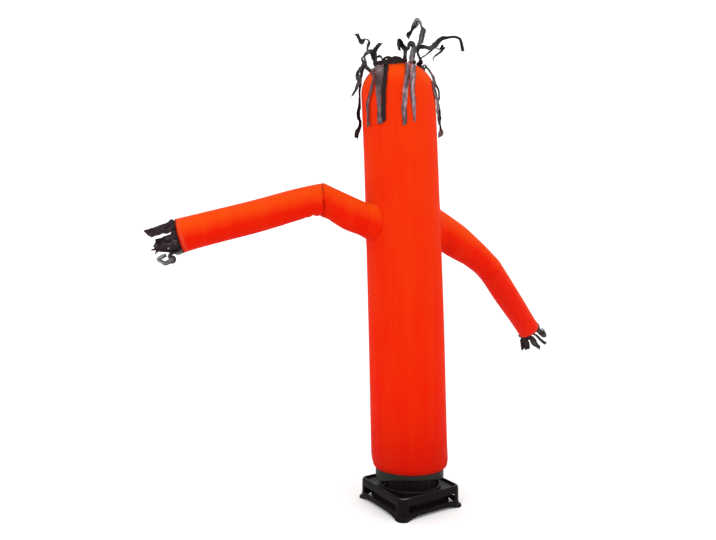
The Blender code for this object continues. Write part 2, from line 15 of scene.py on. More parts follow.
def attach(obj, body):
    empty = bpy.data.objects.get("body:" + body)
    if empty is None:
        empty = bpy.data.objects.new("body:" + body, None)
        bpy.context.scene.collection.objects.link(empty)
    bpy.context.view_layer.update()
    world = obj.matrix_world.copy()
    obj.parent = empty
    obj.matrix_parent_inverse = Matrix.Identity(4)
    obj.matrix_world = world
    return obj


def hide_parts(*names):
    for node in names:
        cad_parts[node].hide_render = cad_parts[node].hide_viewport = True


bl_info = {
    "name": "Inflatable air dancer",
    "version": (1, 0, 0),
    "blender": (4, 5, 0),
    "location": "View3D > Sidebar > Air dancer",
    "description": "Builds the cloth, the ribbons and the blower stand of an inflatable air dancer",
    "category": "Add Mesh",
}

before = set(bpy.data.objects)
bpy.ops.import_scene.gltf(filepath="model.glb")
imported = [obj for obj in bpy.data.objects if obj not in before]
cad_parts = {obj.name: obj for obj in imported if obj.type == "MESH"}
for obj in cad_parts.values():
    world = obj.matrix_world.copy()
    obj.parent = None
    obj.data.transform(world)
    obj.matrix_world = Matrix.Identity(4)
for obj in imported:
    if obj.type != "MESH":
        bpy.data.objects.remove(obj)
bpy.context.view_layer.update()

# ---- sizes that the solids share ----
GAP = 0.0003
SHOULDER_Z = 1.803         # where the rounded top begins
DOME_POWER = 2.1           # 2 is an ellipse, more is boxier
LEAN_Z = 0.210             # the tube stands straight up to here
LEAN_CURL = 0.012          # the extra bend of its last stretch
HEM_Z = 0.1615             # mean height of the hem
HEM_SAG = 0.0045           # how much lower it hangs at the sides than at the front
HEM_BAND = 0.007
HEM_RISE = 0.030           # height over which the tube swells out above the band
GRIP_RADIUS = 0.1543       # outside of the hem where it grips the collar
FRONT_TURN = math.radians(-37.0)   # the dancer's front, turned from -Y
ROOT_RING = 0.105          # ring seam of the hanging ribbons
INNER_RING = 0.091         # ring seam of the ribbons that the air lifts
TUBE_COLUMNS = 192
SLEEVE_COLUMNS = 96
SLEEVE_STEPS = 420         # steps along a sleeve's middle line
RUN_ON = 0.090             # how far a sleeve runs on straight past its ends, to be trimmed
SLEEVE_HEM = 0.016         # turned in at each cuff

# Sleeves. Each row is one section: x, y, z of its centre and its radius.
LEFT_UPPER = (
    (-0.080, 0.010, 1.215, 0.074),
    (-0.185, 0.029, 1.240, 0.072),
    (-0.240, 0.039, 1.260, 0.066),
    (-0.330, 0.056, 1.293, 0.064),
    (-0.426, 0.070, 1.328, 0.0635),
)
LEFT_FORE = (
    (-0.426, 0.070, 1.328, 0.0635),
    (-0.500, 0.074, 1.309, 0.0615),
    (-0.717, 0.084, 1.241, 0.0620),
    (-1.008, 0.098, 1.155, 0.0605),
)
RIGHT_UPPER = (
    (0.050, -0.004, 1.285, 0.080),
    (0.135, -0.013, 1.240, 0.080),
    (0.200, -0.022, 1.208, 0.079),
    (0.267, -0.030, 1.174, 0.078),
    (0.384, -0.041, 1.112, 0.067),
    (0.492, -0.042, 1.047, 0.0625),
)
RIGHT_FORE = (
    (0.492, -0.042, 1.047, 0.0625),
    (0.745, 0.020, 0.871, 0.0615),
    (0.995, 0.082, 0.697, 0.0600),
)

# Creases of the sleeves. Distance is from the elbow's seam, and the turn is round the sleeve from the inside
# of the elbow, in degrees.
SLEEVE_CREASES = {
    "left_upper_arm": (
        # distance, turn, length round, width, slant, depth
        (0.030, 20, 0.070, 0.007, 0.15, -0.0022),
        (0.050, -35, 0.060, 0.009, -0.25, -0.0018),
        (0.130, 0, 0.060, 0.075, 0.0, 0.0130),
    ),
    "left_forearm": (
        (0.040, 0, 0.085, 0.011, 0.05, -0.0065),
        (0.085, 25, 0.060, 0.012, 0.30, -0.0022),
        (0.024, -40, 0.050, 0.007, -0.30, -0.0020),
    ),
    "right_upper_arm": (
        (0.026, 0, 0.070, 0.007, 0.10, -0.0030),
        (0.060, 30, 0.060, 0.010, 0.25, -0.0020),
        (0.150, 10, 0.080, 0.016, 0.10, -0.0025),
    ),
    "right_forearm": (
        (0.030, -15, 0.075, 0.008, 0.10, -0.0035),
        (0.065, 25, 0.055, 0.010, -0.20, -0.0020),
    ),
}

# Creases of the tube low down, above the hem. Angles go round from the front, positive to the right.
TUBE_CREASES = (
    # angle, height, run round in degrees, width, slant, depth
    (-58, 0.205, 16, 0.007, 0.10, -0.0022),
    (-50, 0.222, 12, 0.008, -0.12, -0.0016),
    (-75, 0.214, 14, 0.008, 0.06, -0.0020),
    (-94, 0.184, 30, 0.015, 0.0, -0.0065),
    (80, 0.190, 10, 0.006, 0.30, -0.0022),
    (54, 0.212, 12, 0.007, -0.14, -0.0020),
    (66, 0.236, 10, 0.009, -0.20, -0.0018),
    (120, 0.210, 18, 0.008, 0.08, -0.0020),
    (168, 0.220, 16, 0.008, -0.08, -0.0018),
    (-130, 0.208, 14, 0.007, 0.10, -0.0020),
)

# The rows of the four tables from here to RIGHT_FRINGE were printed by a separate program and pasted in.
# Nothing in this file works them out.
#
# Hanging ribbons. Points are in centimetres from the top of the crown: across to the right, out to the front,
# and up. Then the width in millimetres, and the paleness there, which is painted light and sheen.
HANGING = (
    # number, angle at the seam, full width, hangs free of the wall, points (across, front, up, width,
    # paleness)
    (1, -46, 44, False, (
        (-8, 10.7, -5.4, 44, 0.4), (-8.2, 12.8, -8.7, 43, 0.4), (-8.4, 13.4, -11.4, 36, 0.4),
        (-8.5, 13.3, -15.5, 28, 0.4), (-8.4, 13.1, -20.1, 24, 0.4), (-8.2, 12.9, -23.8, 21, 0.4),
        (-8.2, 12.8, -26.2, 21, 0.4), (-8.1, 12.7, -29.5, 25, 0.4))),
    (2, -31, 22, False, (
        (-5.5, 12.8, -6.2, 21, 0.06), (-5.9, 14.3, -9.7, 20, 0.06), (-6.2, 14.7, -12.7, 20, 0.05),
        (-6.4, 14.4, -16.7, 18, 0.05), (-6.5, 14.2, -20.4, 19, 0.05), (-6.6, 13.9, -24.1, 20, 0.05),
        (-6.6, 13.8, -26.5, 20, 0.04), (-6.5, 13.7, -28.8, 17, 0.04))),
    (3, -64, 20, True, (
        (-10.5, 7.4, -4.2, 14, 0.35), (-11, 10.3, -7.4, 10, 0.35), (-10.7, 12, -10.5, 8, 0.35),
        (-11.5, 11.5, -13.7, 11, 0.35), (-12.3, 10.4, -16.7, 10, 0.35), (-13.1, 9.4, -19.8, 11, 0.35),
        (-13, 9.2, -23.5, 10, 0.35), (-12.9, 9.2, -26.9, 8, 0.35), (-12.9, 9.2, -29.6, 13, 0.35))),
    (4, 17, 24, False, (
        (3.3, 14.4, -7.2, 19, 0.48), (3.2, 15.6, -10.1, 22, 0.48), (2.8, 16, -12.3, 20, 0.48),
        (2.4, 16, -15.6, 22, 0.48), (2.1, 15.9, -18.9, 22, 0.48), (1.9, 15.8, -21.7, 22, 0.48),
        (1.8, 15.8, -24.6, 21, 0.48), (2, 15.7, -27.5, 20, 0.48), (2.2, 15.6, -30.6, 17, 0.48))),
    (5, 32, 24, False, (
        (5.7, 13.5, -6.9, 22, 0.55), (5.6, 14.9, -9.9, 23, 0.55), (5.3, 15.5, -13, 23, 0.55),
        (5.2, 15.4, -16.2, 22, 0.55), (5.5, 15.3, -19.5, 22, 0.55), (5.8, 15.2, -22.4, 19, 0.55),
        (6, 15.1, -24.8, 15, 0.55), (6.1, 15, -26.9, 11, 0.55), (6.2, 14.9, -29.1, 8, 0.55))),
    (6, 66, 24, True, (
        (11.8, 3, -1.3, 8, 0.35), (14, 4.5, -4.8, 11, 0.35), (15.3, 6, -8, 16, 0.35),
        (15.3, 7.5, -11.1, 17, 0.36), (15.6, 7.5, -13.6, 15, 0.39), (16.4, 6, -15.9, 17, 0.42),
        (17.2, 4.5, -17.9, 17, 0.44), (17.7, 3, -19.6, 15, 0.43), (17.3, 4, -21.6, 13, 0.43),
        (17.9, 2.5, -23.3, 15, 0.37), (18.2, 2, -25.7, 12, 0.28), (18.9, 1.5, -27.5, 6, 0.2))),
    (7, 80, 24, True, (
        (12.5, 2.5, -2, 6, 0.1), (15, 3.5, -5.8, 6, 0.1), (16.6, 4.5, -10.1, 5, 0.1),
        (18, 3, -12.4, 5, 0.1), (18.4, 2, -14.6, 6, 0.1), (17.7, 3.5, -18, 7, 0.1),
        (18.5, 2, -20.2, 7, 0.1), (18.8, 1.5, -23.1, 8, 0.1), (19, 1, -25.6, 5, 0.1),
        (19.2, 0.5, -28.1, 7, 0.2), (19.4, 0.5, -29.6, 18, 0.6), (19.5, 0, -30.6, 22, 0.6),
        (19.3, 0, -31.9, 15, 0.5))),
    (8, -86, 26, True, (
        (-14.5, 2, -1.4, 13, 0.3), (-15.7, 1.8, -5.2, 13, 0.3), (-16.3, 1.5, -9.1, 13, 0.3),
        (-16.3, 1.2, -12, 13, 0.25), (-16.2, 1, -14.6, 13, 0.2), (-16.4, 0.6, -18, 14, 0.12),
        (-17, 0.3, -21, 16, 0.08), (-16.8, 0, -23.5, 15, 0.06), (-16.2, 0, -25.7, 14, 0.06),
        (-16.5, -0.2, -27.9, 15, 0.1), (-17.6, -0.5, -29.6, 18, 0.2), (-17.9, -0.8, -32.2, 18, 0.3))),
    (9, 112, 25, False, (
        (12.6, -6, -5.4, 19, 0.04), (14.5, -7.1, -8.6, 23, 0.04), (15.7, -7.5, -12.2, 20, 0.03),
        (15.8, -8.2, -15.9, 17, 0.02), (16, -8.4, -19.7, 21, 0.05), (16.2, -8.7, -23.4, 19, 0.08),
        (16.1, -9.5, -27.2, 20, 0.12), (16.5, -9.5, -30.9, 18, 0.15))),
    (10, 138, 28, False, (
        (9.1, -10.8, -5.6, 23, 0.44), (10.4, -12.6, -8.9, 21, 0.44), (11.2, -13.4, -12.7, 27, 0.43),
        (11.6, -13.4, -16.7, 21, 0.43), (11.7, -13.7, -20.6, 22, 0.42), (11.8, -14, -24.5, 28, 0.41),
        (11.5, -14.6, -28.5, 20, 0.41), (11.9, -14.6, -32.4, 25, 0.4))),
    (11, 165, 26, False, (
        (3.7, -13.3, -5.3, 23, 0.03), (4.2, -15.4, -8.3, 22, 0.03), (5.4, -16.4, -11.8, 23, 0.03),
        (6.2, -16.5, -15.4, 22, 0.03), (6, -16.9, -19, 25, 0.05), (6.1, -17.2, -22.7, 21, 0.07),
        (6.1, -17.5, -26.3, 25, 0.08), (6.2, -17.9, -29.9, 18, 0.1))),
    (12, -168, 28, False, (
        (-2.5, -13.6, -5.5, 26, 0.47), (-2.5, -15.8, -8.8, 22, 0.45), (-1.6, -17, -12.6, 24, 0.43),
        (-1.2, -17.2, -16.4, 28, 0.4), (-1.4, -17.4, -20.3, 26, 0.41), (-1.4, -17.6, -24.2, 26, 0.43),
        (-1.1, -17.8, -28, 24, 0.44), (-0.8, -18, -31.9, 29, 0.45))),
    (13, -146, 26, False, (
        (-7.7, -11.2, -5.4, 24, 0.09), (-9, -12.7, -8.5, 25, 0.08), (-9, -14, -12, 20, 0.07),
        (-8.7, -14.4, -15.7, 20, 0.06), (-9.1, -14.3, -19.4, 19, 0.05), (-9.3, -14.3, -23, 20, 0.04),
        (-9.3, -14.5, -26.7, 22, 0.03), (-9.3, -14.6, -30.4, 23, 0.02))),
    (14, -127, 25, False, (
        (-10.8, -8.2, -5.5, 22, 0.31), (-12.6, -9.1, -8.7, 24, 0.28), (-13, -10.2, -12.4, 18, 0.24),
        (-13, -10.2, -16.2, 22, 0.2), (-12.9, -10.5, -20, 22, 0.16), (-13.1, -10.4, -23.8, 22, 0.12),
        (-13.1, -10.6, -27.6, 18, 0.09), (-13.3, -10.5, -31.4, 19, 0.05))),
)

# Lifted ribbons, in the same measures. The width is the one that shows to the front.
LIFTED = (
    # number, angle at the seam, full width, points (across, front, up, width, paleness)
    (1, -72, 27, (
        (-9.8, 6, -1.1, 13, 0.1), (-10.7, 6.2, 0.9, 13, 0.1), (-12, 6.6, 2.6, 12, 0.08),
        (-12.7, 6.5, 3.2, 9, 0.15), (-13.2, 5.5, 4.7, 9, 0.15), (-12.9, 4.1, 6.6, 10, 0.1),
        (-12.3, 2.9, 8.5, 11, 0.08), (-12.8, 2.4, 9.8, 10, 0.08), (-14, 2.6, 10.1, 10, 0.1),
        (-14.9, 3.5, 9.2, 18, 0.12), (-15.9, 4.5, 8, 25, 0.15), (-16.6, 5.2, 9.1, 16, 0.08),
        (-17.2, 5.2, 10.2, 19, 0.05), (-18, 4.5, 11.6, 22, 0.05))),
    (2, -54, 27, (
        (-9.4, 7, -1.9, 15, 0.25), (-9.7, 6.4, -0.3, 17, 0.35), (-10.2, 5, 1.9, 26, 0.39),
        (-9.9, 5.4, 3.8, 21, 0.12), (-8.7, 6.4, 5.2, 21, 0.1), (-7.2, 6, 7.1, 21, 0.05))),
    (3, -84, 26, (
        (-10, 6, -1.1, 13, 0.1), (-10.5, 6, 1, 13, 0.1), (-11, 5.8, 2.8, 11, 0.08),
        (-12.3, 5.8, 2.7, 10, 0.08), (-13.7, 6.2, 1.8, 10, 0.08), (-15.1, 7, 0.5, 9, 0.08),
        (-15.4, 8.1, -1, 8, 0.1), (-14.9, 9.1, -2.7, 10, 0.12), (-15.4, 9.6, -4.3, 14, 0.18),
        (-16.4, 8.7, -5.6, 17, 0.26), (-17.1, 7.3, -6.5, 19, 0.3), (-16.9, 5.7, -8.3, 21, 0.3),
        (-16.8, 4.1, -9.1, 20, 0.28), (-17.4, 2.8, -10.5, 15, 0.22), (-18.4, 1.9, -12.3, 13, 0.15),
        (-19.4, 1.5, -13.9, 9, 0.1), (-20.2, 1.4, -14.6, 4, 0.08))),
    (4, -34, 14, (
        (-6.5, 9, -1.8, 6, 0.25), (-7, 10.2, -1.1, 5, 0.25), (-7.8, 9, 0.2, 5, 0.25),
        (-8.7, 7.5, 0.6, 5, 0.25), (-9.5, 9, -0.6, 5, 0.25))),
    (5, -60, 32, (
        (-8.6, 8.6, -2.4, 10, 0.12), (-7, 10.2, -2.8, 13, 0.12), (-5.4, 11.8, -3.4, 18, 0.12),
        (-3.7, 12.1, -3.2, 23, 0.12), (-2.3, 12.4, -2.9, 28, 0.12), (-1.1, 12.4, -2.7, 31, 0.12),
        (0, 12.4, -2.9, 27, 0.12), (1.3, 12.3, -3.2, 19, 0.12), (2.7, 12.2, -3.5, 14, 0.12))),
    (6, 17, 26, (
        (2.7, 8, -1.5, 14, 0.05), (2.8, 8.4, 0.1, 15, 0.1), (3.2, 7.2, 2.5, 15, 0.25),
        (3.3, 4.6, 4.9, 18, 0.32), (1.9, 4.1, 7, 17, 0.08), (0.5, 6.2, 7.6, 19, 0.05),
        (-0, 8.5, 5.2, 14, 0.05), (0.3, 8.9, 2.6, 12, 0.1))),
    (7, 34, 34, (
        (5.5, 9, -2.3, 20, 0.45), (5.5, 9.2, -0.2, 21, 0.49), (6.2, 8.5, 2.4, 24, 0.42),
        (6.5, 7.5, 4.5, 26, 0.37), (5.9, 7.3, 6.1, 29, 0.3), (4.9, 7.9, 5.5, 19, 0.15),
        (4.5, 8.8, 4.2, 12, 0.12), (4.3, 9.2, 2.8, 8, 0.1))),
    (8, 45, 27, (
        (6.2, 7, -1.3, 15, 0.12), (6.7, 6.5, 1.3, 15, 0.15), (7.7, 5.1, 4.2, 15, 0.2),
        (9.1, 3.4, 6.8, 18, 0.25), (10.4, 2.2, 9.2, 22, 0.4), (10.9, 2.1, 11.8, 24, 0.4),
        (11.2, 3.5, 13.3, 21, 0.42), (10.7, 5, 13.8, 13, 0.42), (10, 6, 14.6, 6, 0.5),
        (9.5, 6.9, 15.5, 9, 0.6), (8.4, 6.6, 16.3, 21, 0.53), (7.7, 5.3, 15.7, 24, 0.45),
        (7, 3.7, 15, 17, 0.3), (6.3, 2.3, 14.2, 10, 0.12), (5.5, 1.8, 13, 16, 0.08),
        (4.6, 2.5, 11.6, 19, 0.06), (4.4, 4.2, 9.8, 5, 0.05))),
    (9, 70, 27, (
        (9.8, 6, -0.9, 17, 0.1), (8.9, 6.2, 1.3, 13, 0.1), (8.4, 6.7, 3.3, 11, 0.08),
        (9.1, 6.9, 4.9, 13, 0.08), (10.7, 6.2, 5.4, 13, 0.08), (12.6, 4.4, 5.8, 10, 0.2),
        (14.7, 2.2, 6.6, 17, 0.24), (16.7, 0.4, 8.6, 21, 0.2), (18.6, -0.5, 10.7, 19, 0.17),
        (20.3, -0.4, 11.9, 14, 0.15), (22.6, 0.6, 11.8, 8, 0.15), (24.5, 2.1, 11.4, 6, 0.12),
        (26, 3.5, 10.6, 6, 0.15), (27, 4.3, 9.4, 8, 0.1), (27.7, 4.2, 7.8, 10, 0.08),
        (28.3, 3.1, 6.5, 10, 0.08), (28.9, 1.1, 5.4, 10, 0.08))),
    (10, 84, 22, (
        (9.5, 6, -0.7, 9, 0.08), (9.9, 6.3, 0.3, 9, 0.08), (11.4, 6.5, 1.3, 7, 0.08),
        (13.1, 6.3, 2.6, 9, 0.1), (14.9, 5.5, 4.4, 10, 0.1), (16.4, 4.2, 5.6, 8, 0.1),
        (17.7, 3.1, 5.5, 10, 0.1), (19.1, 2.4, 5.9, 17, 0.03), (20.2, 2.1, 7.1, 21, 0.03),
        (19.4, 2.4, 5.2, 10, 0.1), (18.3, 3.1, 4, 8, 0.2), (16.9, 4, 2.7, 6, 0.25),
        (15.6, 4.7, 1.3, 5, 0.3), (15.3, 5.2, -0.1, 4, 0.35), (15.7, 5.2, -1.3, 3, 0.3))),
    (11, 128, 24, (
        (9.4, -8.6, 1, 20, 0.05), (10.6, -10.4, 3, 14, 0.15), (12, -12.6, 4, 10, 0.25),
        (13.4, -14.6, 2.4, 18, 0.26), (13, -16.2, -0.6, 16, 0.18), (13.8, -16.6, -3, 12, 0.1))),
    (12, 176, 26, (
        (1.4, -11.8, 1.6, 22, 0.4), (-0.2, -13.4, 4.4, 20, 0.25), (-1.8, -12.2, 7.4, 12, 0.1),
        (-4.2, -13.4, 8.2, 8, 0.06), (-6.2, -15.8, 6, 14, 0.02), (-5.6, -17, 2.6, 20, 0.16),
        (-7.4, -17.6, -1.6, 12, 0.3))),
    (13, -138, 24, (
        (-7.4, -9.4, 1.4, 18, 0.02), (-9.8, -11, 4.4, 10, 0.06), (-9, -10.6, 7.6, 16, 0.1),
        (-11.4, -10.4, 10.2, 20, 0.25), (-14, -11.8, 8.4, 12, 0.4), (-13.4, -13.2, 4.8, 10, 0.25),
        (-15.8, -13.6, 1, 16, 0.1))),
)

# Strips of the cuffs' fringes. Points are in centimetres from the middle of the cuff, in the same measures.
LEFT_FRINGE = (
    # turn round the cuff, full width, points (across, front, up, width, paleness)
    (112, 24, ((-2.3, 4.2, 3.4, 22, 0.16), (-4.9, 5.7, 2, 25, 0.26), (-7.1, 7, 1, 24, 0.14),
        (-8.8, 8, 0.2, 22, 0.18))),
    (138, 24, ((-1.6, 6.3, 1.4, 18, 0.14), (-3.6, 7.4, 0.8, 17, 0.12), (-5.5, 8.5, 0.1, 19, 0.1),
        (-7.1, 9.5, -0.9, 19, 0.2))),
    (166, 24, ((-0.3, 7, -0.8, 19, 0.2), (-2.6, 8.3, -1.6, 16, 0.13), (-4.3, 9.2, -2.1, 13, 0.08),
        (-5.1, 9.7, -2.3, 9, 0.1))),
    (188, 26, ((-0.9, 7.2, -2.3, 22, 0.2), (-2.9, 8.3, -2.9, 22, 0.2), (-4.4, 9.2, -3.5, 20, 0.1),
        (-5.1, 9.9, -4.7, 17, 0.15))),
    (208, 26, ((-0.6, 6.2, -3.9, 24, 0.15), (-3.2, 7.6, -4.3, 22, 0.14), (-5.1, 8.7, -4.9, 10, 0.12),
        (-6.4, 9.4, -5.3, 3, 0.1))),
    (232, 24, ((-0.2, 4.1, -5.2, 19, 0.1), (-2.9, 5.5, -5, 17, 0.14), (-5, 6.7, -5.4, 17, 0.18),
        (-5.9, 7.6, -6.8, 6, 0.24))),
    (258, 22, ((-0.8, 0.4, -6.1, 13, 0.5), (-2, 0.5, -5.8, 11, 0.2), (-2.9, 0.6, -6.5, 10, 0.3),
        (-3.2, 0.7, -7.5, 12, 0.4), (-2.2, 0.8, -7.9, 20, 0.5), (-2.2, 0.9, -8.7, 18, 0.42),
        (-3.5, 1.1, -9.2, 15, 0.45), (-4.5, 1.2, -9.7, 16, 0.42), (-5.7, 1.3, -9.2, 13, 0.5),
        (-6.9, 1.4, -8.7, 13, 0.55), (-7.1, 1.5, -8.4, 14, 0.5), (-6, 1.6, -7.8, 16, 0.48),
        (-5, 1.7, -7.3, 17, 0.5), (-4, 1.8, -6.9, 14, 0.5))),
    (288, 22, ((-2.5, -1.8, -5.3, 14, 0.08), (-4.9, -1.3, -5.1, 14, 0.08), (-6.9, -0.9, -5.2, 11, 0.08))),
    (318, 22, ((-4.6, -3.6, -3.6, 18, 0.12), (-6.9, -3.1, -3.8, 18, 0.12), (-8.8, -2.7, -4.2, 14, 0.12))),
    (350, 22, ((-4.9, -4.6, -1.8, 18, 0.12), (-7.2, -4.1, -2.3, 18, 0.12), (-9.1, -3.6, -3.1, 14, 0.12))),
    (24, 22, ((-5.3, -3.7, 2.7, 18, 0.12), (-8, -3.1, 1.9, 18, 0.12), (-10.3, -2.6, 1.2, 14, 0.12))),
    (62, 22, ((-4.3, -0.7, 3.1, 18, 0.12), (-6.8, 0.2, 2.1, 18, 0.12), (-9.6, 1.2, 1.1, 14, 0.12))),
)
RIGHT_FRINGE = (
    (-126, 30, ((-4.2, -0.2, -4.6, 27, 0.15), (-3.3, -1.1, -7.9, 29, 0.2), (-2.5, -1.8, -11.1, 31, 0.08))),
    (-98, 28, ((-2.8, 2, -4.9, 27, 0.15), (-1.6, 1.3, -7.6, 28, 0.2), (-1, 0.5, -11, 27, 0.05))),
    (-78, 36, ((-0.3, 2.9, -4.1, 28, 0.1), (1.4, 2.1, -5.5, 37, 0.15), (2.4, 1.5, -6.9, 37, 0.24),
        (3.6, 0.9, -8.1, 29, 0.18), (4.9, 0.3, -9.2, 25, 0.15), (6.2, -0.3, -10.4, 26, 0.15))),
    (-40, 18, ((3.1, 4, -2.8, 11, 0.08), (5.2, 2.8, -4.6, 13, 0.12), (7.1, 1.8, -6.2, 15, 0.1),
        (9.4, 0.6, -7.8, 17, 0.3))),
    (-8, 34, ((4.2, 3.9, -0.9, 22, 0.08), (5.3, 3.4, -1.4, 28, 0.1), (7, 2.6, -2.1, 34, 0.15),
        (8.3, 2, -2.8, 26, 0.25), (9, 1.3, -4, 11, 0.2))),
    (18, 20, ((5.2, 2.1, 0.1, 15, 0.4), (6.5, 1.5, 0.4, 19, 0.85), (7.6, 0.9, -0.2, 17, 1),
        (8.9, -0, -2, 13, 0.6))),
    (56, 22, ((5.4, -1.5, 2.7, 20, 0.09), (6.4, -2.9, 1.1, 18, 0.08), (7.2, -4.3, -0.8, 16, 0.07))),
    (88, 24, ((3.4, -4, 3.4, 22, 0.27), (4.6, -5.5, 1.5, 20, 0.24), (5.9, -7, -0.8, 18, 0.21))),
    (118, 22, ((0.8, -5.4, 2.9, 20, 0.05), (1.9, -6.8, 1.1, 18, 0.04), (3, -8.1, -1.2, 16, 0.03))),
    (150, 24, ((-1.7, -6, 1, 22, 0.18), (-0.3, -7.3, -0.7, 20, 0.16), (1.1, -8.6, -2.6, 18, 0.14))),
    (180, 24, ((-3.3, -5, -1.2, 22, 0.05), (-1.9, -6.2, -2.5, 20, 0.04), (-0.1, -7.1, -3.7, 18, 0.03))),
    (208, 22, ((-3.8, -3.5, -3.5, 20, 0.27), (-2.3, -5, -4.5, 18, 0.24), (-0.8, -6.3, -5.2, 16, 0.21))),
)
FRINGE_BAND = 0.012
ROOT_RUN = 0.008           # the first stretch of a strip, straight out from its seam
STRIP_COLUMNS = 9
LEFT_CUT = (0.032, 0.0065)     # each cuff is cut at a slant: longer by this in front, and underneath
RIGHT_CUT = (-0.040, 0.0)
SEAM_BOW = 0.024               # how far the left elbow's seam bows towards the hand on its front side


# ---- settings ----
class DancerCloth(bpy.types.PropertyGroup):
    """Sizes and colours of the tube and its sleeves."""

    tube_radius: bpy.props.FloatProperty(
        name="Tube radius", description="Radius of the upper part of the tube", default=0.1635, min=0.1,
        max=0.3,
        unit="LENGTH")
    belly: bpy.props.FloatProperty(
        name="Belly", description="Extra radius low down, where the pressure is highest", default=0.0075,
        min=0.0,
        max=0.03, unit="LENGTH")
    dome_height: bpy.props.FloatProperty(
        name="Dome height", description="Height of the rounded top", default=0.138, min=0.05, max=0.3,
        unit="LENGTH")
    lean: bpy.props.FloatProperty(
        name="Lean", description="How far the top leans towards -X", default=0.063, min=0.0, max=0.3,
        unit="LENGTH")
    unevenness: bpy.props.FloatProperty(
        name="Unevenness", description="Height of the soft swells in the inflated cloth", default=0.0009,
        min=0.0,
        max=0.01, unit="LENGTH")
    gather: bpy.props.FloatProperty(
        name="Gather", description="Height of the small folds above the hem", default=0.0016, min=0.0,
        max=0.01,
        unit="LENGTH")
    # Painted light: the cloth colour is the lit orange of upward faces and the upper tube.
    colour: bpy.props.FloatVectorProperty(
        name="Cloth colour", description="Colour of the coated nylon where the sun has faded it to orange",
        default=(0.66, 0.050, 0.0022), subtype="COLOR", min=0.0, max=1.0)
    # Painted shade: the shaded red of undersides and the lower tube.
    shaded_side_colour: bpy.props.FloatVectorProperty(
        name="Unfaded colour", description="Colour of the cloth on its undersides and low down",
        default=(0.63, 0.0090, 0.0006), subtype="COLOR", min=0.0, max=1.0)
    # The deep colour is that of doubled cloth and stitching, and also painted shade low down on the tube, at
    # the hem and at the sleeve roots.
    deep_colour: bpy.props.FloatVectorProperty(
        name="Deep colour", description="Colour where the cloth is doubled or soiled",
        default=(0.33, 0.0040, 0.0010),
        subtype="COLOR", min=0.0, max=1.0)
    # Painted highlight: the pale line along the hem and cuff folds.
    fold_highlight_colour: bpy.props.FloatVectorProperty(
        name="Worn colour", description="Colour of the rubbed, chalky folds", default=(0.55, 0.085, 0.040),
        subtype="COLOR", min=0.0, max=1.0)
    # Painted shade: the near-black red of the dark line along the hem's bottom edge and the cuffs' ends.
    edge_shade_colour: bpy.props.FloatVectorProperty(
        name="Edge colour",
        description="Colour of the cut and turned edges, where the dark trim shows through",
        default=(0.085, 0.005, 0.003), subtype="COLOR", min=0.0, max=1.0)


class DancerTrim(bpy.types.PropertyGroup):
    """Sizes and colours of the ribbons and fringes."""

    crumple: bpy.props.FloatProperty(
        name="Crumple", description="Height of the small dents in the ribbons", default=0.0016, min=0.0,
        max=0.01,
        unit="LENGTH")
    ragged: bpy.props.FloatProperty(
        name="Ragged edge", description="How far a ribbon's width wanders, as a share of it", default=0.05,
        min=0.0,
        max=0.5)
    thickness: bpy.props.FloatProperty(
        name="Ribbon thickness", description="Thickness of the ribbon cloth", default=0.0006, min=0.0002,
        max=0.002, unit="LENGTH")
    colour: bpy.props.FloatVectorProperty(
        name="Ribbon colour", description="Colour of the black side of the ribbon cloth",
        default=(0.004, 0.004, 0.0045), subtype="COLOR", min=0.0, max=1.0)
    # Painted light and sheen: the lit colour that the ribbons' black is mixed towards.
    lit_sheen_colour: bpy.props.FloatVectorProperty(
        name="Pale colour", description="Colour of the ribbon's silvery satin threads",
        default=(0.46, 0.46, 0.47), subtype="COLOR", min=0.0, max=1.0)
    red_reflection_colour: bpy.props.FloatVectorProperty(
        name="Blush colour", description="The pale threads' colour where red light shines back from the tube",
        default=(0.56, 0.37, 0.42), subtype="COLOR", min=0.0, max=1.0)


class DancerStand(bpy.types.PropertyGroup):
    """Colour and finish of the blower stand."""

    colour: bpy.props.FloatVectorProperty(
        name="Plastic colour", description="Colour of the moulded plastic", default=(0.0036, 0.0032, 0.0029),
        subtype="COLOR", min=0.0, max=1.0)
    dust: bpy.props.FloatProperty(
        name="Dust", description="How much dust lies on the upward faces", default=0.25, min=0.0, max=1.0)


class DancerStage(bpy.types.PropertyGroup):
    """Floor and soft studio light."""

    floor_colour: bpy.props.FloatVectorProperty(
        name="Floor colour", description="Colour of the pale floor", default=(0.93, 0.93, 0.93),
        subtype="COLOR",
        min=0.0, max=1.0)
    ambient: bpy.props.FloatProperty(
        name="Ambient", description="Strength of the even light from all round", default=1.24, min=0.0,
        max=3.0)
    key_power: bpy.props.FloatProperty(
        name="Key power", description="Power of the large soft light", default=33.0, min=0.0, max=1000.0,
        subtype="POWER")
    camera_turn: bpy.props.FloatProperty(
        name="Camera turn", description="Angle that the camera looks round from +Y",
        default=math.radians(-37.3),
        subtype="ANGLE")
    camera_height: bpy.props.FloatProperty(
        name="Camera height", description="Height of the level camera", default=1.027, unit="LENGTH")
    camera_distance: bpy.props.FloatProperty(
        name="Camera distance", description="Distance from the camera to the stand's middle", default=2.5,
        unit="LENGTH")


# ---- mesh helpers ----
def grid_faces(rows, columns, closed=True, joined=False):
    """Quads of a grid counted row by row: closed joins the last column to the first, joined the last row."""
    i, j = np.meshgrid(np.arange(rows if joined else rows - 1), np.arange(columns if closed else columns - 1),
                       indexing="ij")
    above = (i + 1) % rows
    right = (j + 1) % columns
    return np.stack([i * columns + j, i * columns + right, above * columns + right, above * columns + j],
                    axis=-1).reshape(-1, 4)


def grid_uv(u, v):
    """UV of each quad's corners, from u and v at the grid's corners, one column more if closed."""
    corners = np.stack([u, v], axis=-1)
    return np.stack([corners[:-1, :-1], corners[:-1, 1:], corners[1:, 1:], corners[1:, :-1]],
                    axis=2).reshape(-1, 4, 2)


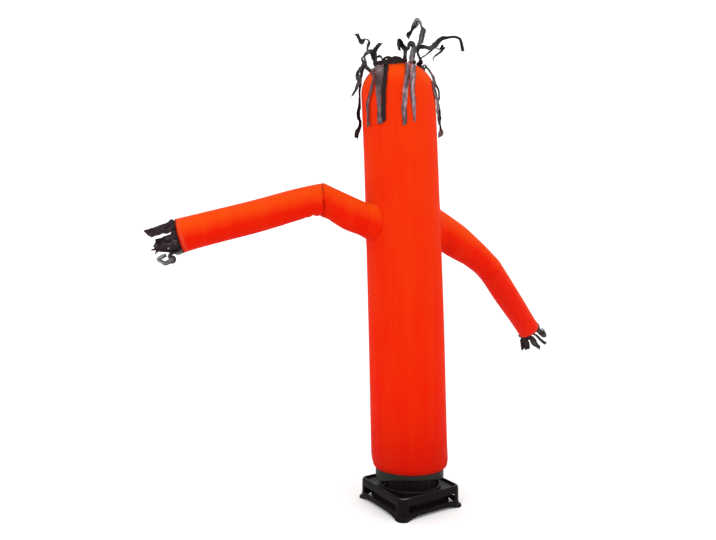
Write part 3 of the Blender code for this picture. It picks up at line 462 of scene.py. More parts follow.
def add_piece(name, points, faces, uv, material, masks=None):
    """A mesh object at the origin from points, quads or triangles, their UVs in metres, and point masks."""
    mesh = bpy.data.meshes.new(name)
    mesh.from_pydata(np.asarray(points).tolist(), [], [tuple(face) for face in faces])
    layer = mesh.uv_layers.new(name="UVMap")
    layer.data.foreach_set("uv", np.concatenate([np.asarray(part).ravel() for part in uv]).astype(np.float32))
    for label, values in (masks or {}).items():
        attribute = mesh.attributes.new(label, "FLOAT", "POINT")
        attribute.data.foreach_set("value", np.asarray(values, np.float32).ravel())
    mesh.shade_smooth()
    mesh.materials.append(material)
    made = bpy.data.objects.new(name, mesh)
    bpy.context.scene.collection.objects.link(made)
    return made


def give_thickness(made, thickness, offset=-1.0):
    """The cloth's own thickness, put on inwards unless the offset says otherwise."""
    wall = made.modifiers.new("cloth thickness", "SOLIDIFY")
    wall.thickness = thickness
    wall.offset = offset
    wall.use_even_offset = False


def settle(made, slot, *nodes):
    """The piece rides on the one body and stands for these solids, which are hidden. The slot is not used."""
    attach(made, "root")
    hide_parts(*nodes)


UP = np.array([0.0, 0.0, 1.0])


def unit(v):
    v = np.asarray(v, float)
    return v / np.linalg.norm(v, axis=-1, keepdims=True)


def ramp(value):
    """The value, held between nought and one."""
    return np.clip(value, 0.0, 1.0)


def bump(distance, width):
    """A smooth hump: one at no distance, and close to nothing past twice the width."""
    return np.exp(-(distance / width) ** 2)


def spline(points, count):
    """A smooth curve through the points: Catmull-Rom, with each knot step the root of the distance."""
    pts = np.asarray(points, float)
    pts = np.vstack([2.0 * pts[0] - pts[1], pts, 2.0 * pts[-1] - pts[-2]])
    knots = np.concatenate([[0.0], np.cumsum(np.linalg.norm(np.diff(pts[:, :3], axis=0), axis=1) ** 0.5)])
    at = np.linspace(knots[1], knots[-2], count)
    i = np.clip(np.searchsorted(knots, at, side="right") - 1, 1, len(pts) - 3)

    def blend(left, right, first, last):
        share = ((at - knots[first]) / (knots[last] - knots[first]))[:, None]
        return left * (1.0 - share) + right * share

    a, b, c, d = pts[i - 1], pts[i], pts[i + 1], pts[i + 2]
    ab, bc, cd = blend(a, b, i - 1, i), blend(b, c, i, i + 1), blend(c, d, i + 1, i + 2)
    return blend(blend(ab, bc, i - 1, i + 1), blend(bc, cd, i, i + 2), i, i + 1)


def arc_length(line):
    return np.concatenate([[0.0], np.cumsum(np.linalg.norm(np.diff(line[:, :3], axis=0), axis=1))])


# ---- the tube ----
def axis_x(z):
    """The tube leans towards -X: a straight lean and a late curl, both growing from the collar's top."""
    cloth = bpy.context.scene.dancer_cloth
    t = ramp((np.asarray(z, float) - LEAN_Z) / (SHOULDER_Z + cloth.dome_height - LEAN_Z))
    return -cloth.lean * t - LEAN_CURL * t ** 4


def wall_radius(z):
    """Straight above, a little fuller low down, and a quarter-round swell from the grip of the hem."""
    cloth = bpy.context.scene.dancer_cloth
    z = np.asarray(z, float)
    low = ramp((SHOULDER_Z - z) / (SHOULDER_Z - HEM_Z))
    full = cloth.tube_radius + cloth.belly * low ** 1.5
    swell = ramp((z - HEM_Z - HEM_BAND) / HEM_RISE)
    return GRIP_RADIUS + (full - GRIP_RADIUS) * np.sqrt(1.0 - (1.0 - swell) ** 2)


def dome_profile(bend):
    """Radii and heights of the rounded top, a superellipse, by the angle up from its shoulder."""
    cloth = bpy.context.scene.dancer_cloth
    power = 2.0 / DOME_POWER
    return cloth.tube_radius * np.cos(bend) ** power, SHOULDER_Z + cloth.dome_height * np.sin(bend) ** power


def near_sleeve(points, upper):
    """Distance of points from a sleeve's line where it leaves the tube, its radius there, and which side."""
    rows = np.asarray(upper, float)
    along = unit(rows[2, :3] - rows[1, :3])
    rel = points - rows[1, :3]
    run = rel @ along
    away = np.linalg.norm(rel - run[..., None] * along, axis=-1)
    return away, rows[1, 3], run > -RUN_ON


def wall_detail(turn, z, points):
    """Height of the wall's detail: soft swells, folds above the hem, creases, and the pull at each sleeve.

    The swells are three crossed sine waves. The hem is a low ridge with a furrow over it. The folds are
    three cosine waves round the tube, which fade upwards and are strongest at the sides. A crease is a
    smooth trough with soft ends.
    """
    cloth = bpy.context.scene.dancer_cloth
    swell = (np.sin(2.0 * turn + 3.1 * z + 0.4) + 0.7 * np.sin(3.0 * turn - 4.3 * z + 1.9)
             + 0.5 * np.sin(5.0 * turn + 7.0 * z + 0.3))
    height = cloth.unevenness * swell * ramp((z - HEM_Z) / 0.08)
    side = turn - (FRONT_TURN - math.pi / 2.0)
    folds = (0.5 + 0.5 * np.cos(31.0 * turn + 0.6)) * (0.6 + 0.4 * np.cos(7.0 * turn + 1.1))
    folds = folds + 0.4 * (0.5 + 0.5 * np.cos(53.0 * turn + 2.0 * np.sin(5.0 * turn)))
    fade = np.exp(-np.clip(z - HEM_Z - 0.016, 0.0, None) / 0.022) * np.clip((z - HEM_Z) / 0.012, 0.25, 1.0)
    height = height + cloth.gather * folds * fade * (0.3 + 0.7 * np.sin(side) ** 2)
    height = height + 0.0008 * bump(z - HEM_Z - 0.007, 0.0045) - 0.0009 * bump(z - HEM_Z - 0.0165, 0.0026)
    for angle, at_z, run, width, slant, depth in TUBE_CREASES:
        off = (side - math.radians(angle) + math.pi) % (2.0 * math.pi) - math.pi
        across = z - at_z - slant * off * GRIP_RADIUS
        height = height + depth * bump(across, width) * bump(off, math.radians(run) * 0.6)
    for upper in (LEFT_UPPER, RIGHT_UPPER):
        away, radius, outside = near_sleeve(points, upper)
        height = height + np.where(outside, 0.0040 * bump(away - radius, 0.030), 0.0)
    return height


def tube_radius_at(turn, z):
    """Radius of the finished wall at these angles and heights."""
    base = wall_radius(z)
    points = np.stack([axis_x(z) + base * np.cos(turn), base * np.sin(turn), z], axis=-1)
    return base + wall_detail(turn, z, points)


def tube_grid():
    """The tube's points: up the inside of the folded hem, round its edge, up the wall and over the dome."""
    inner_z = HEM_Z + np.linspace(0.016, 0.0012, 7)
    fold = np.radians(np.linspace(-70.0, 70.0, 5))
    low_z = HEM_Z + np.arange(0.0012, 0.024, 0.0016)
    mid_z = HEM_Z + np.arange(0.024, 0.095, 0.0034)
    wall_z = np.concatenate([low_z, mid_z, np.linspace(mid_z[-1], SHOULDER_Z, 128)[1:]])
    bend = np.radians(90.0) * np.linspace(0.0, 0.992, 46)[1:] ** 0.92
    dome_r, dome_z = dome_profile(bend)
    hem_back = 0.0016
    radius = np.concatenate([np.full(7, GRIP_RADIUS - hem_back),
                             GRIP_RADIUS - hem_back / 2.0 * (1.0 - np.sin(fold)),
                             wall_radius(wall_z), dome_r])
    height = np.concatenate([inner_z, HEM_Z + 0.0009 * (1.0 - np.cos(fold)), wall_z, dome_z])
    turn = FRONT_TURN + math.pi / 2.0 + np.linspace(0.0, 2.0 * math.pi, TUBE_COLUMNS, endpoint=False)
    r, angle = np.meshgrid(radius, turn, indexing="ij")
    z = np.broadcast_to(height[:, None], r.shape)
    out = np.stack([np.cos(angle), np.sin(angle), np.zeros_like(angle)], axis=-1)
    base = out * r[..., None] + np.stack([axis_x(z), 0.0 * z, z], axis=-1)
    travel = np.concatenate([[0.0], np.cumsum(np.hypot(np.diff(radius), np.diff(height)))])
    slope = np.arctan2(-np.gradient(radius, travel), np.gradient(height, travel))
    slope[:12 + len(low_z)] = 0.0
    normal = out * np.cos(slope)[:, None, None]
    normal[..., 2] = np.sin(slope)[:, None]
    lift = wall_detail(angle, z, base)
    lift = lift * ramp((SHOULDER_Z + 0.10 - z) / 0.10)
    lift[:12] *= 0.4
    ring = np.where(z > SHOULDER_Z, r, 1.0)
    middle = (ROOT_RING + INNER_RING) / 2.0
    lift = lift + 0.0010 * bump(ring - middle, 0.004) - 0.0006 * bump(np.abs(ring - middle) - 0.008, 0.0025)
    points = base + normal * lift[..., None]
    near_hem = ramp(1.0 - (z - HEM_Z) / (HEM_BAND + HEM_RISE))
    points[..., 2] -= HEM_SAG * (2.0 * np.cos(angle - FRONT_TURN) ** 4 - 1.0) * near_hem
    steps = (radius[1:] + radius[:-1]) / 2.0 * np.diff(travel)
    cut_size = (2.0 * math.pi * float(radius.max()), float(travel[-1])), 2.0 * math.pi * float(steps.sum())
    return points, travel, near_hem, cut_size


def build_tube(material):
    """The tube's cloth with an opening where each sleeve is sewn on, and its top closed at the pole."""
    points, travel, near_hem, cut_size = tube_grid()
    rows, columns = points.shape[:2]
    faces = grid_faces(rows, columns)
    around = np.linspace(0.0, 2.0 * math.pi * GRIP_RADIUS, columns + 1)
    u, v = np.meshgrid(around, travel)
    uv = grid_uv(u, v)
    flat = points.reshape(-1, 3)
    middles = flat[faces].mean(axis=1)
    keep = np.ones(len(faces), bool)
    for upper in (LEFT_UPPER, RIGHT_UPPER):
        away, radius, outside = near_sleeve(middles, upper)
        keep &= ~((away < radius - 0.006) & outside & (middles[:, 2] > 1.0) & (middles[:, 2] < 1.5))
    faces, uv = faces[keep], uv[keep]
    pole = flat[-columns:].mean(axis=0) + np.array([0.0, 0.0, 0.0004])
    tip = len(flat)
    last = (rows - 1) * columns + np.arange(columns)
    cap = np.stack([last, (rows - 1) * columns + (np.arange(columns) + 1) % columns, np.full(columns, tip)],
                   axis=1)
    cap_uv = np.stack([np.stack([around[:-1], np.full(columns, travel[-1])], axis=1),
                       np.stack([around[1:], np.full(columns, travel[-1])], axis=1),
                       np.stack([around[:-1], np.full(columns, travel[-1] + 0.004)], axis=1)], axis=1)
    run = travel - travel[9]
    # The mask is partly doubled cloth and partly painted shade: it passes one at the hem's folded edge, where
    # the dark edge line is painted, and adds a little shade over the band near the hem.
    under = np.where(run < 0.006, 0.35 + 1.65 * ramp((0.0060 - run) / 0.0035),
                     0.45 * bump(run - 0.0155, 0.004))
    doubled_and_shade = np.maximum(under[:, None] * (near_hem > 0.0), 0.2 * near_hem)
    # Painted highlight along the hem's fold.
    fold_highlight = bump(run - 0.0095, 0.0032)[:, None] * (near_hem > 0.0)
    tube = add_piece("tube_cloth", np.vstack([flat, pole]), faces.tolist() + cap.tolist(), (uv, cap_uv),
                     material,
                     {"doubled_and_shade": np.append(doubled_and_shade.ravel(), 0.0), "fold_highlight": np.append(fold_highlight.ravel(), 0.0)})
    give_thickness(tube, 0.0008)
    settle(tube, "orange_red_nylon", "body_tube")


# ---- sleeves ----
def sleeve_frame(rows, fold):
    """Centre, radius and two cross directions at even steps of a smooth curve through a sleeve's sections.

    The curve runs on straight for 90 mm past both ends, so that each end can be trimmed at a slant.
    """
    line = spline(rows, SLEEVE_STEPS)
    first, last = unit(line[0, :3] - line[1, :3]), unit(line[-1, :3] - line[-2, :3])
    more = np.linspace(RUN_ON, 0.003, 40)
    before = np.column_stack([line[0, :3] + more[:, None] * first, np.full(40, line[0, 3])])
    after = np.column_stack([line[-1, :3] + more[::-1, None] * last, np.full(40, line[-1, 3])])
    line = np.vstack([before, line, after])
    s = arc_length(line)
    along = unit(np.gradient(line[:, :3], s, axis=0))
    across = unit(fold - (along @ fold)[:, None] * along)
    return s - s[40], line[:, :3], line[:, 3], across, np.cross(along, across)


def on_sleeve(shape, s, turn):
    """Points and outward directions of a sleeve at these lengths along it and turns round it."""
    at, centre, radius, across, other = shape
    flat = s.ravel()

    def read(values):
        return np.stack([np.interp(flat, at, values[:, k]) for k in range(3)],
                        axis=-1).reshape(s.shape + (3,))

    out = read(across) * np.cos(turn)[..., None] + read(other) * np.sin(turn)[..., None]
    return read(centre) + out * np.interp(flat, at, radius).reshape(s.shape)[..., None], out


def first_crossing(shape, turn, measure):
    """For each turn round the sleeve, the last length at which the measure rises through nought."""
    at = shape[0]
    s, angle = np.meshgrid(at, turn, indexing="ij")
    value = measure(on_sleeve(shape, s, angle)[0])
    below = value < 0.0
    k = np.clip(len(at) - 2 - np.argmax(below[:-1][::-1], axis=0), 0, len(at) - 2)
    column = np.arange(len(turn))
    low, high = value[k, column], value[k + 1, column]
    share = ramp(low / (low - high))
    return at[k] + share * (at[k + 1] - at[k])


def tube_gap(points):
    """How far points stand outside the tube's wall."""
    x = points[..., 0] - axis_x(points[..., 2])
    return np.hypot(x, points[..., 1]) - tube_radius_at(np.arctan2(points[..., 1], x), points[..., 2])


def onto_tube(points, proud):
    """Points moved straight out from, or in to, the tube's axis, onto its wall."""
    axis = axis_x(points[..., 2])
    turn = np.arctan2(points[..., 1], points[..., 0] - axis)
    radius = tube_radius_at(turn, points[..., 2]) + proud
    return np.stack([axis + radius * np.cos(turn), radius * np.sin(turn), points[..., 2]], axis=-1)


def sleeve_detail(name, from_seam, turn, radius):
    """Height of a sleeve's detail: a pinch at the elbow's seam, fading puckers, swells and creases."""
    cloth = bpy.context.scene.dancer_cloth
    height = -0.0013 * bump(from_seam, 0.0035)
    pucker = 0.5 + 0.5 * np.cos(23.0 * turn + 1.5 * np.sin(3.0 * turn))
    pucker = pucker * (0.55 + 0.45 * np.cos(5.0 * turn + 0.8))
    height = height + 0.0016 * pucker * np.exp(-from_seam / 0.016) * (1.0 - bump(from_seam, 0.003))
    inner = 0.5 + 0.5 * np.cos(turn)
    height = height + 0.0030 * inner ** 2 * bump(from_seam - 0.018, 0.012)
    swells = np.sin(2.0 * turn + 11.0 * from_seam) + 0.6 * np.sin(3.0 * turn - 17.0 * from_seam + 1.0)
    height = height + cloth.unevenness * swells
    for distance, angle, run, width, slant, depth in SLEEVE_CREASES[name]:
        off = (turn - math.radians(angle) + math.pi) % (2.0 * math.pi) - math.pi
        across = from_seam - distance - slant * off * radius
        height = height + depth * bump(across, width) * bump(off * radius, run)
    return height


def cut_length(out, cut):
    """How much further the slanted cuff runs where its outward direction is this."""
    return cut[0] * ramp(out @ front_frame()[1]) - cut[1] * out[..., 2]


def build_sleeve(name, rows, fold, mitre, bow, material, is_upper, cut=(0.0, 0.0)):
    """One sleeve: an upper one from the tube to the elbow, or a lower one from there to its cuff."""
    shape = sleeve_frame(rows, fold)
    joint = np.asarray(rows[-1 if is_upper else 0][:3])
    turn = np.linspace(0.0, 2.0 * math.pi, SLEEVE_COLUMNS, endpoint=False)
    total = arc_length(spline(rows, SLEEVE_STEPS))[-1]

    def past_elbow(points):
        rel = points - joint
        return rel @ mitre - ramp(rel @ bow / 0.060) ** 2 * SEAM_BOW - (-GAP / 2.0 if is_upper else GAP / 2.0)

    seam = first_crossing(shape, turn, past_elbow)
    start = first_crossing(shape, turn, tube_gap) if is_upper else seam
    end = seam
    if not is_upper:
        end = total + cut_length(on_sleeve(shape, np.full(len(turn), total), turn)[1], cut)
    near = 0.5 * (1.0 - np.cos(math.pi * np.linspace(0.0, 1.0, 110)))
    share = 0.65 * near + 0.35 * np.linspace(0.0, 1.0, 110)
    s = start + (end - start) * share[:, None]
    angle = np.broadcast_to(turn, s.shape)
    points, out = on_sleeve(shape, s, angle)
    radius = np.interp(s, shape[0], shape[2])
    from_seam = (end - s) if is_upper else (s - start)
    points = points + out * sleeve_detail(name, from_seam, angle, radius)[..., None]
    doubled_and_shade = 0.45 * bump(from_seam, 0.006)
    fold_highlight = 0.0 * doubled_and_shade
    if is_upper:
        from_root = s - start
        ahead = np.abs(out @ front_frame()[1])
        flare = (0.009 + 0.011 * ahead) * ramp(1.0 - from_root / (0.028 + 0.030 * ahead)) ** 2
        points = points + out * flare[..., None]
        weight = (ramp(1.0 - from_root / (0.022 + 0.016 * ahead)) ** 1.6)[..., None]
        points = points * (1.0 - weight) + onto_tube(points, 0.0006) * weight
        # Painted shade where the sleeve meets the tube.
        doubled_and_shade = np.maximum(doubled_and_shade, 0.25 * bump(from_root, 0.008))
    else:
        oval = 0.020 * np.cos(2.0 * turn + 0.7) + 0.012 * np.cos(5.0 * turn)
        points = points + out * (radius * oval * ramp(1.0 - (end - s) / 0.06) ** 2)[..., None]
        back = np.linspace(0.0, SLEEVE_HEM, 7)[:, None]
        hem_s = end - back + 0.0 * turn
        hem, hem_out = on_sleeve(shape, hem_s, angle[:7])
        fold_in = radius[-1:] * oval * (1.0 - back / 0.06) ** 2 - 0.0018 * ramp(back / 0.0012) ** 0.5
        hem = hem + hem_out * (fold_in + sleeve_detail(name, hem_s - start, angle[:7],
                                                       radius[-7:]))[..., None]
        points = np.vstack([points, hem[1:]])
        s = np.vstack([s, (end + back)[1:] + 0.0 * turn])
        to_end = end - s[:len(doubled_and_shade)]
        doubled_and_shade = np.maximum(doubled_and_shade, np.clip((0.018 - to_end) / 0.002, 0.0, 0.35))
        # Painted shade: the dark line at the cuff's end.
        doubled_and_shade = np.maximum(doubled_and_shade, 2.0 * ramp((0.0070 - to_end) / 0.004))
        # Painted highlight along the cuff's fold.
        fold_highlight = bump(to_end - 0.013, 0.006)
        doubled_and_shade = np.vstack([doubled_and_shade, np.full((6, len(turn)), 2.0)])
        fold_highlight = np.vstack([fold_highlight, np.zeros((6, len(turn)))])
    rows_made, columns = points.shape[:2]
    faces = grid_faces(rows_made, columns)
    length = np.column_stack([s, s[:, :1]]) + 3.0
    u = np.broadcast_to(np.linspace(0.0, 2.0 * math.pi * 0.0625, columns + 1), length.shape)
    masks = {"doubled_and_shade": doubled_and_shade, "fold_highlight": fold_highlight}
    finish_sleeve(name, points, faces, grid_uv(u, length), masks, material)


def finish_sleeve(name, points, faces, uv, masks, material):
    """Turns the sleeve's faces outwards and gives its cloth a thickness."""
    flat = points.reshape(-1, 3)
    a, b, c = (flat[faces[:, k]] for k in (0, 1, 3))
    middle = points.mean(axis=1, keepdims=True) + 0.0 * points
    outward = np.einsum("ij,ij->i", np.cross(b - a, c - a),
                        flat[faces[:, 0]] - middle.reshape(-1, 3)[faces[:, 0]])
    if np.median(outward) < 0.0:
        faces = faces[:, ::-1]
        uv = uv[:, ::-1]
    sleeve = add_piece(name + "_cloth", flat, faces, (uv,), material, masks)
    give_thickness(sleeve, 0.0007)
    settle(sleeve, "orange_red_nylon", name)


def build_arm(side, upper, fore, cut, material):
    """Both sleeves of an arm, which meet in a slanted seam that halves the angle of the elbow."""
    upper_line, fore_line = spline(upper, SLEEVE_STEPS), spline(fore, SLEEVE_STEPS)
    into = unit(upper_line[-1, :3] - upper_line[-2, :3])
    out = unit(fore_line[1, :3] - fore_line[0, :3])
    mitre = unit(into + out)
    bend = unit(np.cross(into, out))
    bow = bend * np.sign(bend @ front_frame()[1]) * (side == "left")
    inner = unit(np.cross(mitre, bend))
    if np.dot(inner, out - into) < 0.0:
        inner = -inner
    build_sleeve(side + "_upper_arm", upper, inner, mitre, bow, material, True)
    build_sleeve(side + "_forearm", fore, inner, mitre, bow, material, False, cut)


# ---- strips of cloth ----
def front_frame():
    """Unit vectors across to the right and out to the front, as seen from the dancer's front."""
    across = np.array([math.cos(FRONT_TURN), math.sin(FRONT_TURN), 0.0])
    front = np.array([math.sin(FRONT_TURN), -math.cos(FRONT_TURN), 0.0])
    return across, front


def clear_of_tube(points, gap):
    """Points moved out to at least this gap from the tube's wall, or from its rounded top, a superellipse."""
    cloth = bpy.context.scene.dancer_cloth
    axis = axis_x(points[..., 2])
    x, y, z = points[..., 0] - axis, points[..., 1], points[..., 2]
    away = np.maximum(np.hypot(x, y), 1e-6)
    up = np.clip(z - SHOULDER_Z, 0.0, None)
    size = ((away / (cloth.tube_radius + gap)) ** DOME_POWER
            + (up / (cloth.dome_height + gap)) ** DOME_POWER) ** (1.0 / DOME_POWER)
    grow = np.maximum(np.where(up > 0.0, 1.0 / size, (wall_radius(z) + gap) / away), 1.0)
    return np.stack([axis + x * grow, y * grow, np.where(up > 0.0, SHOULDER_Z + up * grow, z)], axis=-1)


def placed_rows(origin, rows):
    """Rows of across, front, up (cm), width (mm) and paleness, as metres in the frame."""
    across, front = front_frame()
    rows = np.asarray(rows, float)
    spot = np.asarray(origin) + (np.outer(rows[:, 0], across) + np.outer(rows[:, 1], front)) / 100.0
    spot[:, 2] += rows[:, 2] / 100.0
    return np.column_stack([spot, rows[:, 3] / 1000.0, rows[:, 4]])


def strip_line(start, rows):
    """A smooth line through the starts and the rows, a point every 2 mm, with width and paleness."""
    first = np.column_stack([np.asarray(start), np.tile(rows[0, 3:], (len(start), 1))])
    rows = np.vstack([first, rows])
    length = arc_length(spline(rows, 200))[-1]
    return spline(rows, int(np.clip(length / 0.002, 24, 190)))


def smoothed(values, reach):
    """A running mean down the rows over reach rows to each side."""
    kernel = np.full(2 * reach + 1, 1.0 / (2 * reach + 1))
    padded = np.pad(values, ((reach, reach), (0, 0)), mode="edge")
    return np.stack([np.convolve(padded[:, k], kernel, mode="valid") for k in range(values.shape[1])], axis=1)


def facing_front(line, full, first, lean):
    """Which way a strip's width points along its line, and its real width there.

    The line carries the width that shows to the front. The real width is 1.1 times that and 3 mm more, up
    to the full width, and the strip is turned about its own line by the angle whose cosine is the one over
    the other. Over the first 15 mm it swings round from the direction of its seam.
    """
    across, front = front_frame()
    path, shown = line[:, :3], np.clip(line[:, 3], 0.0015, full)
    real = np.maximum(np.clip(1.1 * shown + 0.003, min(0.0108, full), full), shown)
    turn = smoothed(lean * np.arccos(shown / real)[:, None], 1)
    ahead = unit(np.gradient(path, axis=0))
    flat = np.cross(ahead, front) + 0.05 * across
    steps = np.einsum("ij,ij->i", flat[1:], flat[:-1])
    flat[1:] *= np.cumprod(np.where(steps < 0.0, -1.0, 1.0))[:, None]
    flat = unit(smoothed(unit(flat), 3))
    wide = flat * np.cos(turn) + np.cross(ahead, flat) * np.sin(turn)
    if np.dot(first, wide[0]) < 0.0:
        first = -first
    hold = ramp(1.0 - arc_length(path) / 0.015)[:, None]
    wide = unit(wide * (1.0 - hold) + first * hold)
    return unit(wide - np.einsum("ij,ij->i", wide, ahead)[:, None] * ahead), real


def lying_on_wall(line, out, seed):
    """The same for a strip that lies on the wall: its width runs level round the tube, and rocks a little."""
    dice = np.random.default_rng(seed)
    ahead = unit(np.gradient(line[:, :3], axis=0))
    wide = np.cross(out, UP)
    wide = unit(wide - np.einsum("ij,ij->i", wide, ahead)[:, None] * ahead)
    travel = arc_length(line)[:, None]
    rock = 0.16 * np.sin(dice.uniform(25.0, 45.0) * travel + dice.uniform(0.0, 6.3)) * ramp(travel / 0.05)
    return wide * np.cos(rock) + np.cross(ahead, wide) * np.sin(rock), line[:, 3]


def crumples(travel, v, dice, waves):
    """Small dents: sine waves along and across the strip, each with its own lengths, slant and start."""
    height = np.zeros_like(travel)
    for _ in range(waves):
        height += dice.uniform(0.4, 1.0) * np.sin(dice.uniform(60.0, 230.0) * travel
                                                  + dice.uniform(-2.6, 2.6) * v
                                                  + dice.uniform(0.0, 6.3))
    return height / math.sqrt(waves)


def strip_points(line, wide, width, seed, cup, glints=0.0):
    """Points of a strip along its line, its UVs in metres, and its painted light at each point. It is cupped
    by the square of the distance across, and crumpled by sine waves, which also paint highlights on their
    crests; glints add painted specks of light. Each edge wanders by two sine waves of its own, and the tip is
    cut at a slant.
    """
    trim = bpy.context.scene.dancer_trim
    dice = np.random.default_rng(seed)
    travel = arc_length(line)
    ahead = unit(np.gradient(line[:, :3], axis=0))
    face = np.cross(wide, ahead)
    s, v = np.meshgrid(travel, np.linspace(-1.0, 1.0, STRIP_COLUMNS), indexing="ij")
    free = ramp(s / 0.02)
    waves = crumples(s, v, dice, 6)
    wander = (np.sin(dice.uniform(60.0, 130.0) * s + 1.3 * np.sign(v) + dice.uniform(0.0, 6.3))
              + 0.6 * np.sin(dice.uniform(240.0, 420.0) * s + 2.1 * np.sign(v)))
    half = width[:, None] / 2.0 * (1.0 + trim.ragged * free * wander)
    raised = trim.crumple * waves * free * np.clip(half / 0.008, 0.3, 1.3) + cup * half * v ** 2 * free
    slant = dice.uniform(-0.25, 0.25) * width[-1] * ramp((s - travel[-1] + 0.02) / 0.02)
    points = (line[:, None, :3] + wide[:, None] * (v * half)[..., None] + face[:, None] * raised[..., None]
              + ahead[:, None] * (v * slant)[..., None])
    folds = 0.45 * crumples(0.2 * s, 2.2 * v, dice, 3) + 0.12 * crumples(s, v, dice, 3)
    # Painted light, with painted highlights on the crumples' crests.
    painted_light = line[:, 4][:, None] * (1.0 + folds)
    if glints:
        painted_light = painted_light + glints * ramp(crumples(1.4 * s, 3.0 * v, dice, 4) - 0.9)
    painted_light = ramp(painted_light)
    return points, grid_uv(v * width.mean() / 2.0 + 0.05 * seed, s), painted_light


# ---- fringes ----
def build_fringe(side, fore, table, cut, material):
    """One comb round the open cuff: a band sewn inside it, and strips that run on from the band."""
    rows = spline(fore, SLEEVE_STEPS)
    along = unit(rows[-1, :3] - rows[-2, :3])
    across = unit(np.cross(along, UP))
    up = np.cross(across, along)
    middle = rows[-1, :3]
    radius = rows[-1, 3] - 0.0042

    def rim(turn, run):
        """Points on the inside of the cuff's slanted edge at these turns, and further along by the run."""
        out = np.outer(np.cos(turn), across) + np.outer(np.sin(turn), up)
        further = cut_length(out, cut) + run
        return middle + out * radius + further[:, None] * along, out

    def inside_cuff(points):
        """Points brought to the cuff's inside while within it, easing off over 5 mm past it."""
        rel = points - middle
        run = rel @ along
        outward = rel - run[..., None] * along
        away = np.linalg.norm(outward, axis=-1)
        past = run - cut_length(outward / away[..., None], cut)
        limit = radius - 0.0010
        inwards = np.clip(away - limit, 0.0, None) * ramp(1.0 - past / 0.005)
        return points - outward * (inwards / away)[..., None]

    turn = np.linspace(0.0, 2.0 * math.pi, 96, endpoint=False)
    run = np.linspace(-FRINGE_BAND, 0.0, 5)
    band = np.stack([rim(turn, step)[0] for step in run])
    u, v = np.meshgrid(np.linspace(0.0, 2.0 * math.pi * radius, 97), run)
    parts, faces, uvs = [band.reshape(-1, 3)], [grid_faces(5, 96)], [grid_uv(u, v)]
    painted_lights, first = [np.full(480, 0.06)], 480
    girth = 2.0 * math.pi * radius
    area, longest = girth * FRINGE_BAND, 0.0
    for number, (turn_deg, full, points) in enumerate(table):
        start, out = rim(np.array([math.radians(turn_deg)]), -0.003)
        start = start - out * (0.0004 * (1 + number % 3))
        line = strip_line([start[0], start[0] + ROOT_RUN * along], placed_rows(middle, points))
        lean = 1.0 if number % 2 else -1.0
        wide, width = facing_front(line, full / 1000.0, unit(np.cross(along, out[0])), lean)
        points, uv, painted_light = strip_points(line, wide, width, 60 + number, 0.10, 1.3)
        parts.append(inside_cuff(points).reshape(-1, 3))
        faces.append(grid_faces(len(line), STRIP_COLUMNS, closed=False) + first)
        uvs.append(uv)
        painted_lights.append(painted_light.ravel())
        first += len(line) * STRIP_COLUMNS
        length = arc_length(line)[-1]
        area += length * float(width.mean())
        longest = max(longest, float(length))
    name = side + "_hand_fringe"
    painted_light = np.concatenate(painted_lights)
    # Painted reflection: the red of the sleeve painted on the strips, most on their darker parts.
    fringe = add_piece(name + "_cloth", np.vstack(parts), np.vstack(faces), uvs, material,
                       {"painted_light": painted_light, "red_reflection": 0.9 * ramp(1.0 - 1.6 * painted_light)})
    give_thickness(fringe, bpy.context.scene.dancer_trim.thickness, 0.0)
    settle(fringe, "charcoal_ribbon", name)


# ---- ribbons ----
def seam_point(ring, seam_deg):
    """The spot on a ring seam of the crown at this angle, and the way out from the tube's axis."""
    cloth = bpy.context.scene.dancer_cloth
    across, front = front_frame()
    out = across * math.sin(math.radians(seam_deg)) + front * math.cos(math.radians(seam_deg))
    z = float(dome_profile(math.acos((ring / cloth.tube_radius) ** (DOME_POWER / 2.0)))[1])
    return out * ring + np.array([float(axis_x(z)), 0.0, z]), out


def ribbon_piece(name, node_name, number, line, wide, width, seed, cup, material):
    """A ribbon along its line, clear of the tube. Its painted red reflection of the tube fades with distance
    from the wall.
    """
    trim = bpy.context.scene.dancer_trim
    points, uv, painted_light = strip_points(line, wide, width, seed, cup)
    travel = arc_length(line)
    gap = 0.0006 + (0.0018 + 0.0007 * (seed % 3)) * ramp(travel / 0.02)
    points = clear_of_tube(points, gap[:, None])
    off_wall = np.linalg.norm(clear_of_tube(points, 0.05) - points, axis=-1)
    red_reflection = ramp(1.25 * (off_wall / 0.05) ** 2)
    ribbon = add_piece(f"{name}_{number:02d}", points.reshape(-1, 3),
                       grid_faces(len(line), STRIP_COLUMNS, closed=False), (uv,),
                       material, {"painted_light": painted_light, "red_reflection": red_reflection})
    give_thickness(ribbon, trim.thickness, 0.0)
    settle(ribbon, "charcoal_ribbon", f"{node_name}_{number:02d}")


def crown_top():
    z = SHOULDER_Z + bpy.context.scene.dancer_cloth.dome_height
    return np.array([float(axis_x(z)), 0.0, z])


def build_hanging(material):
    """Each ribbon runs from the ring seam over the shoulder and down the tube, on or near the wall."""
    for number, seam_deg, full, hangs_free, points in HANGING:
        root, out = seam_point(ROOT_RING, seam_deg)
        line = strip_line([root, root + ROOT_RUN * out - 0.004 * UP], placed_rows(crown_top(), points))
        line[:, :3] = clear_of_tube(line[:, :3], 0.0006 + 0.0030 * ramp(arc_length(line) / 0.02))
        if hangs_free:
            first = np.cross(out, UP)
            wide, width = facing_front(line, full / 1000.0, first, 1.0 if number % 2 else -1.0)
        else:
            away = line[:, :3] - np.outer(axis_x(line[:, 2]), (1.0, 0.0, 0.0))
            away[:, 2] = 0.0
            wide, width = lying_on_wall(line, unit(away), number)
        ribbon_piece("hanging_ribbon", "ribbon_hang", number, line, wide, width, number, 0.08, material)


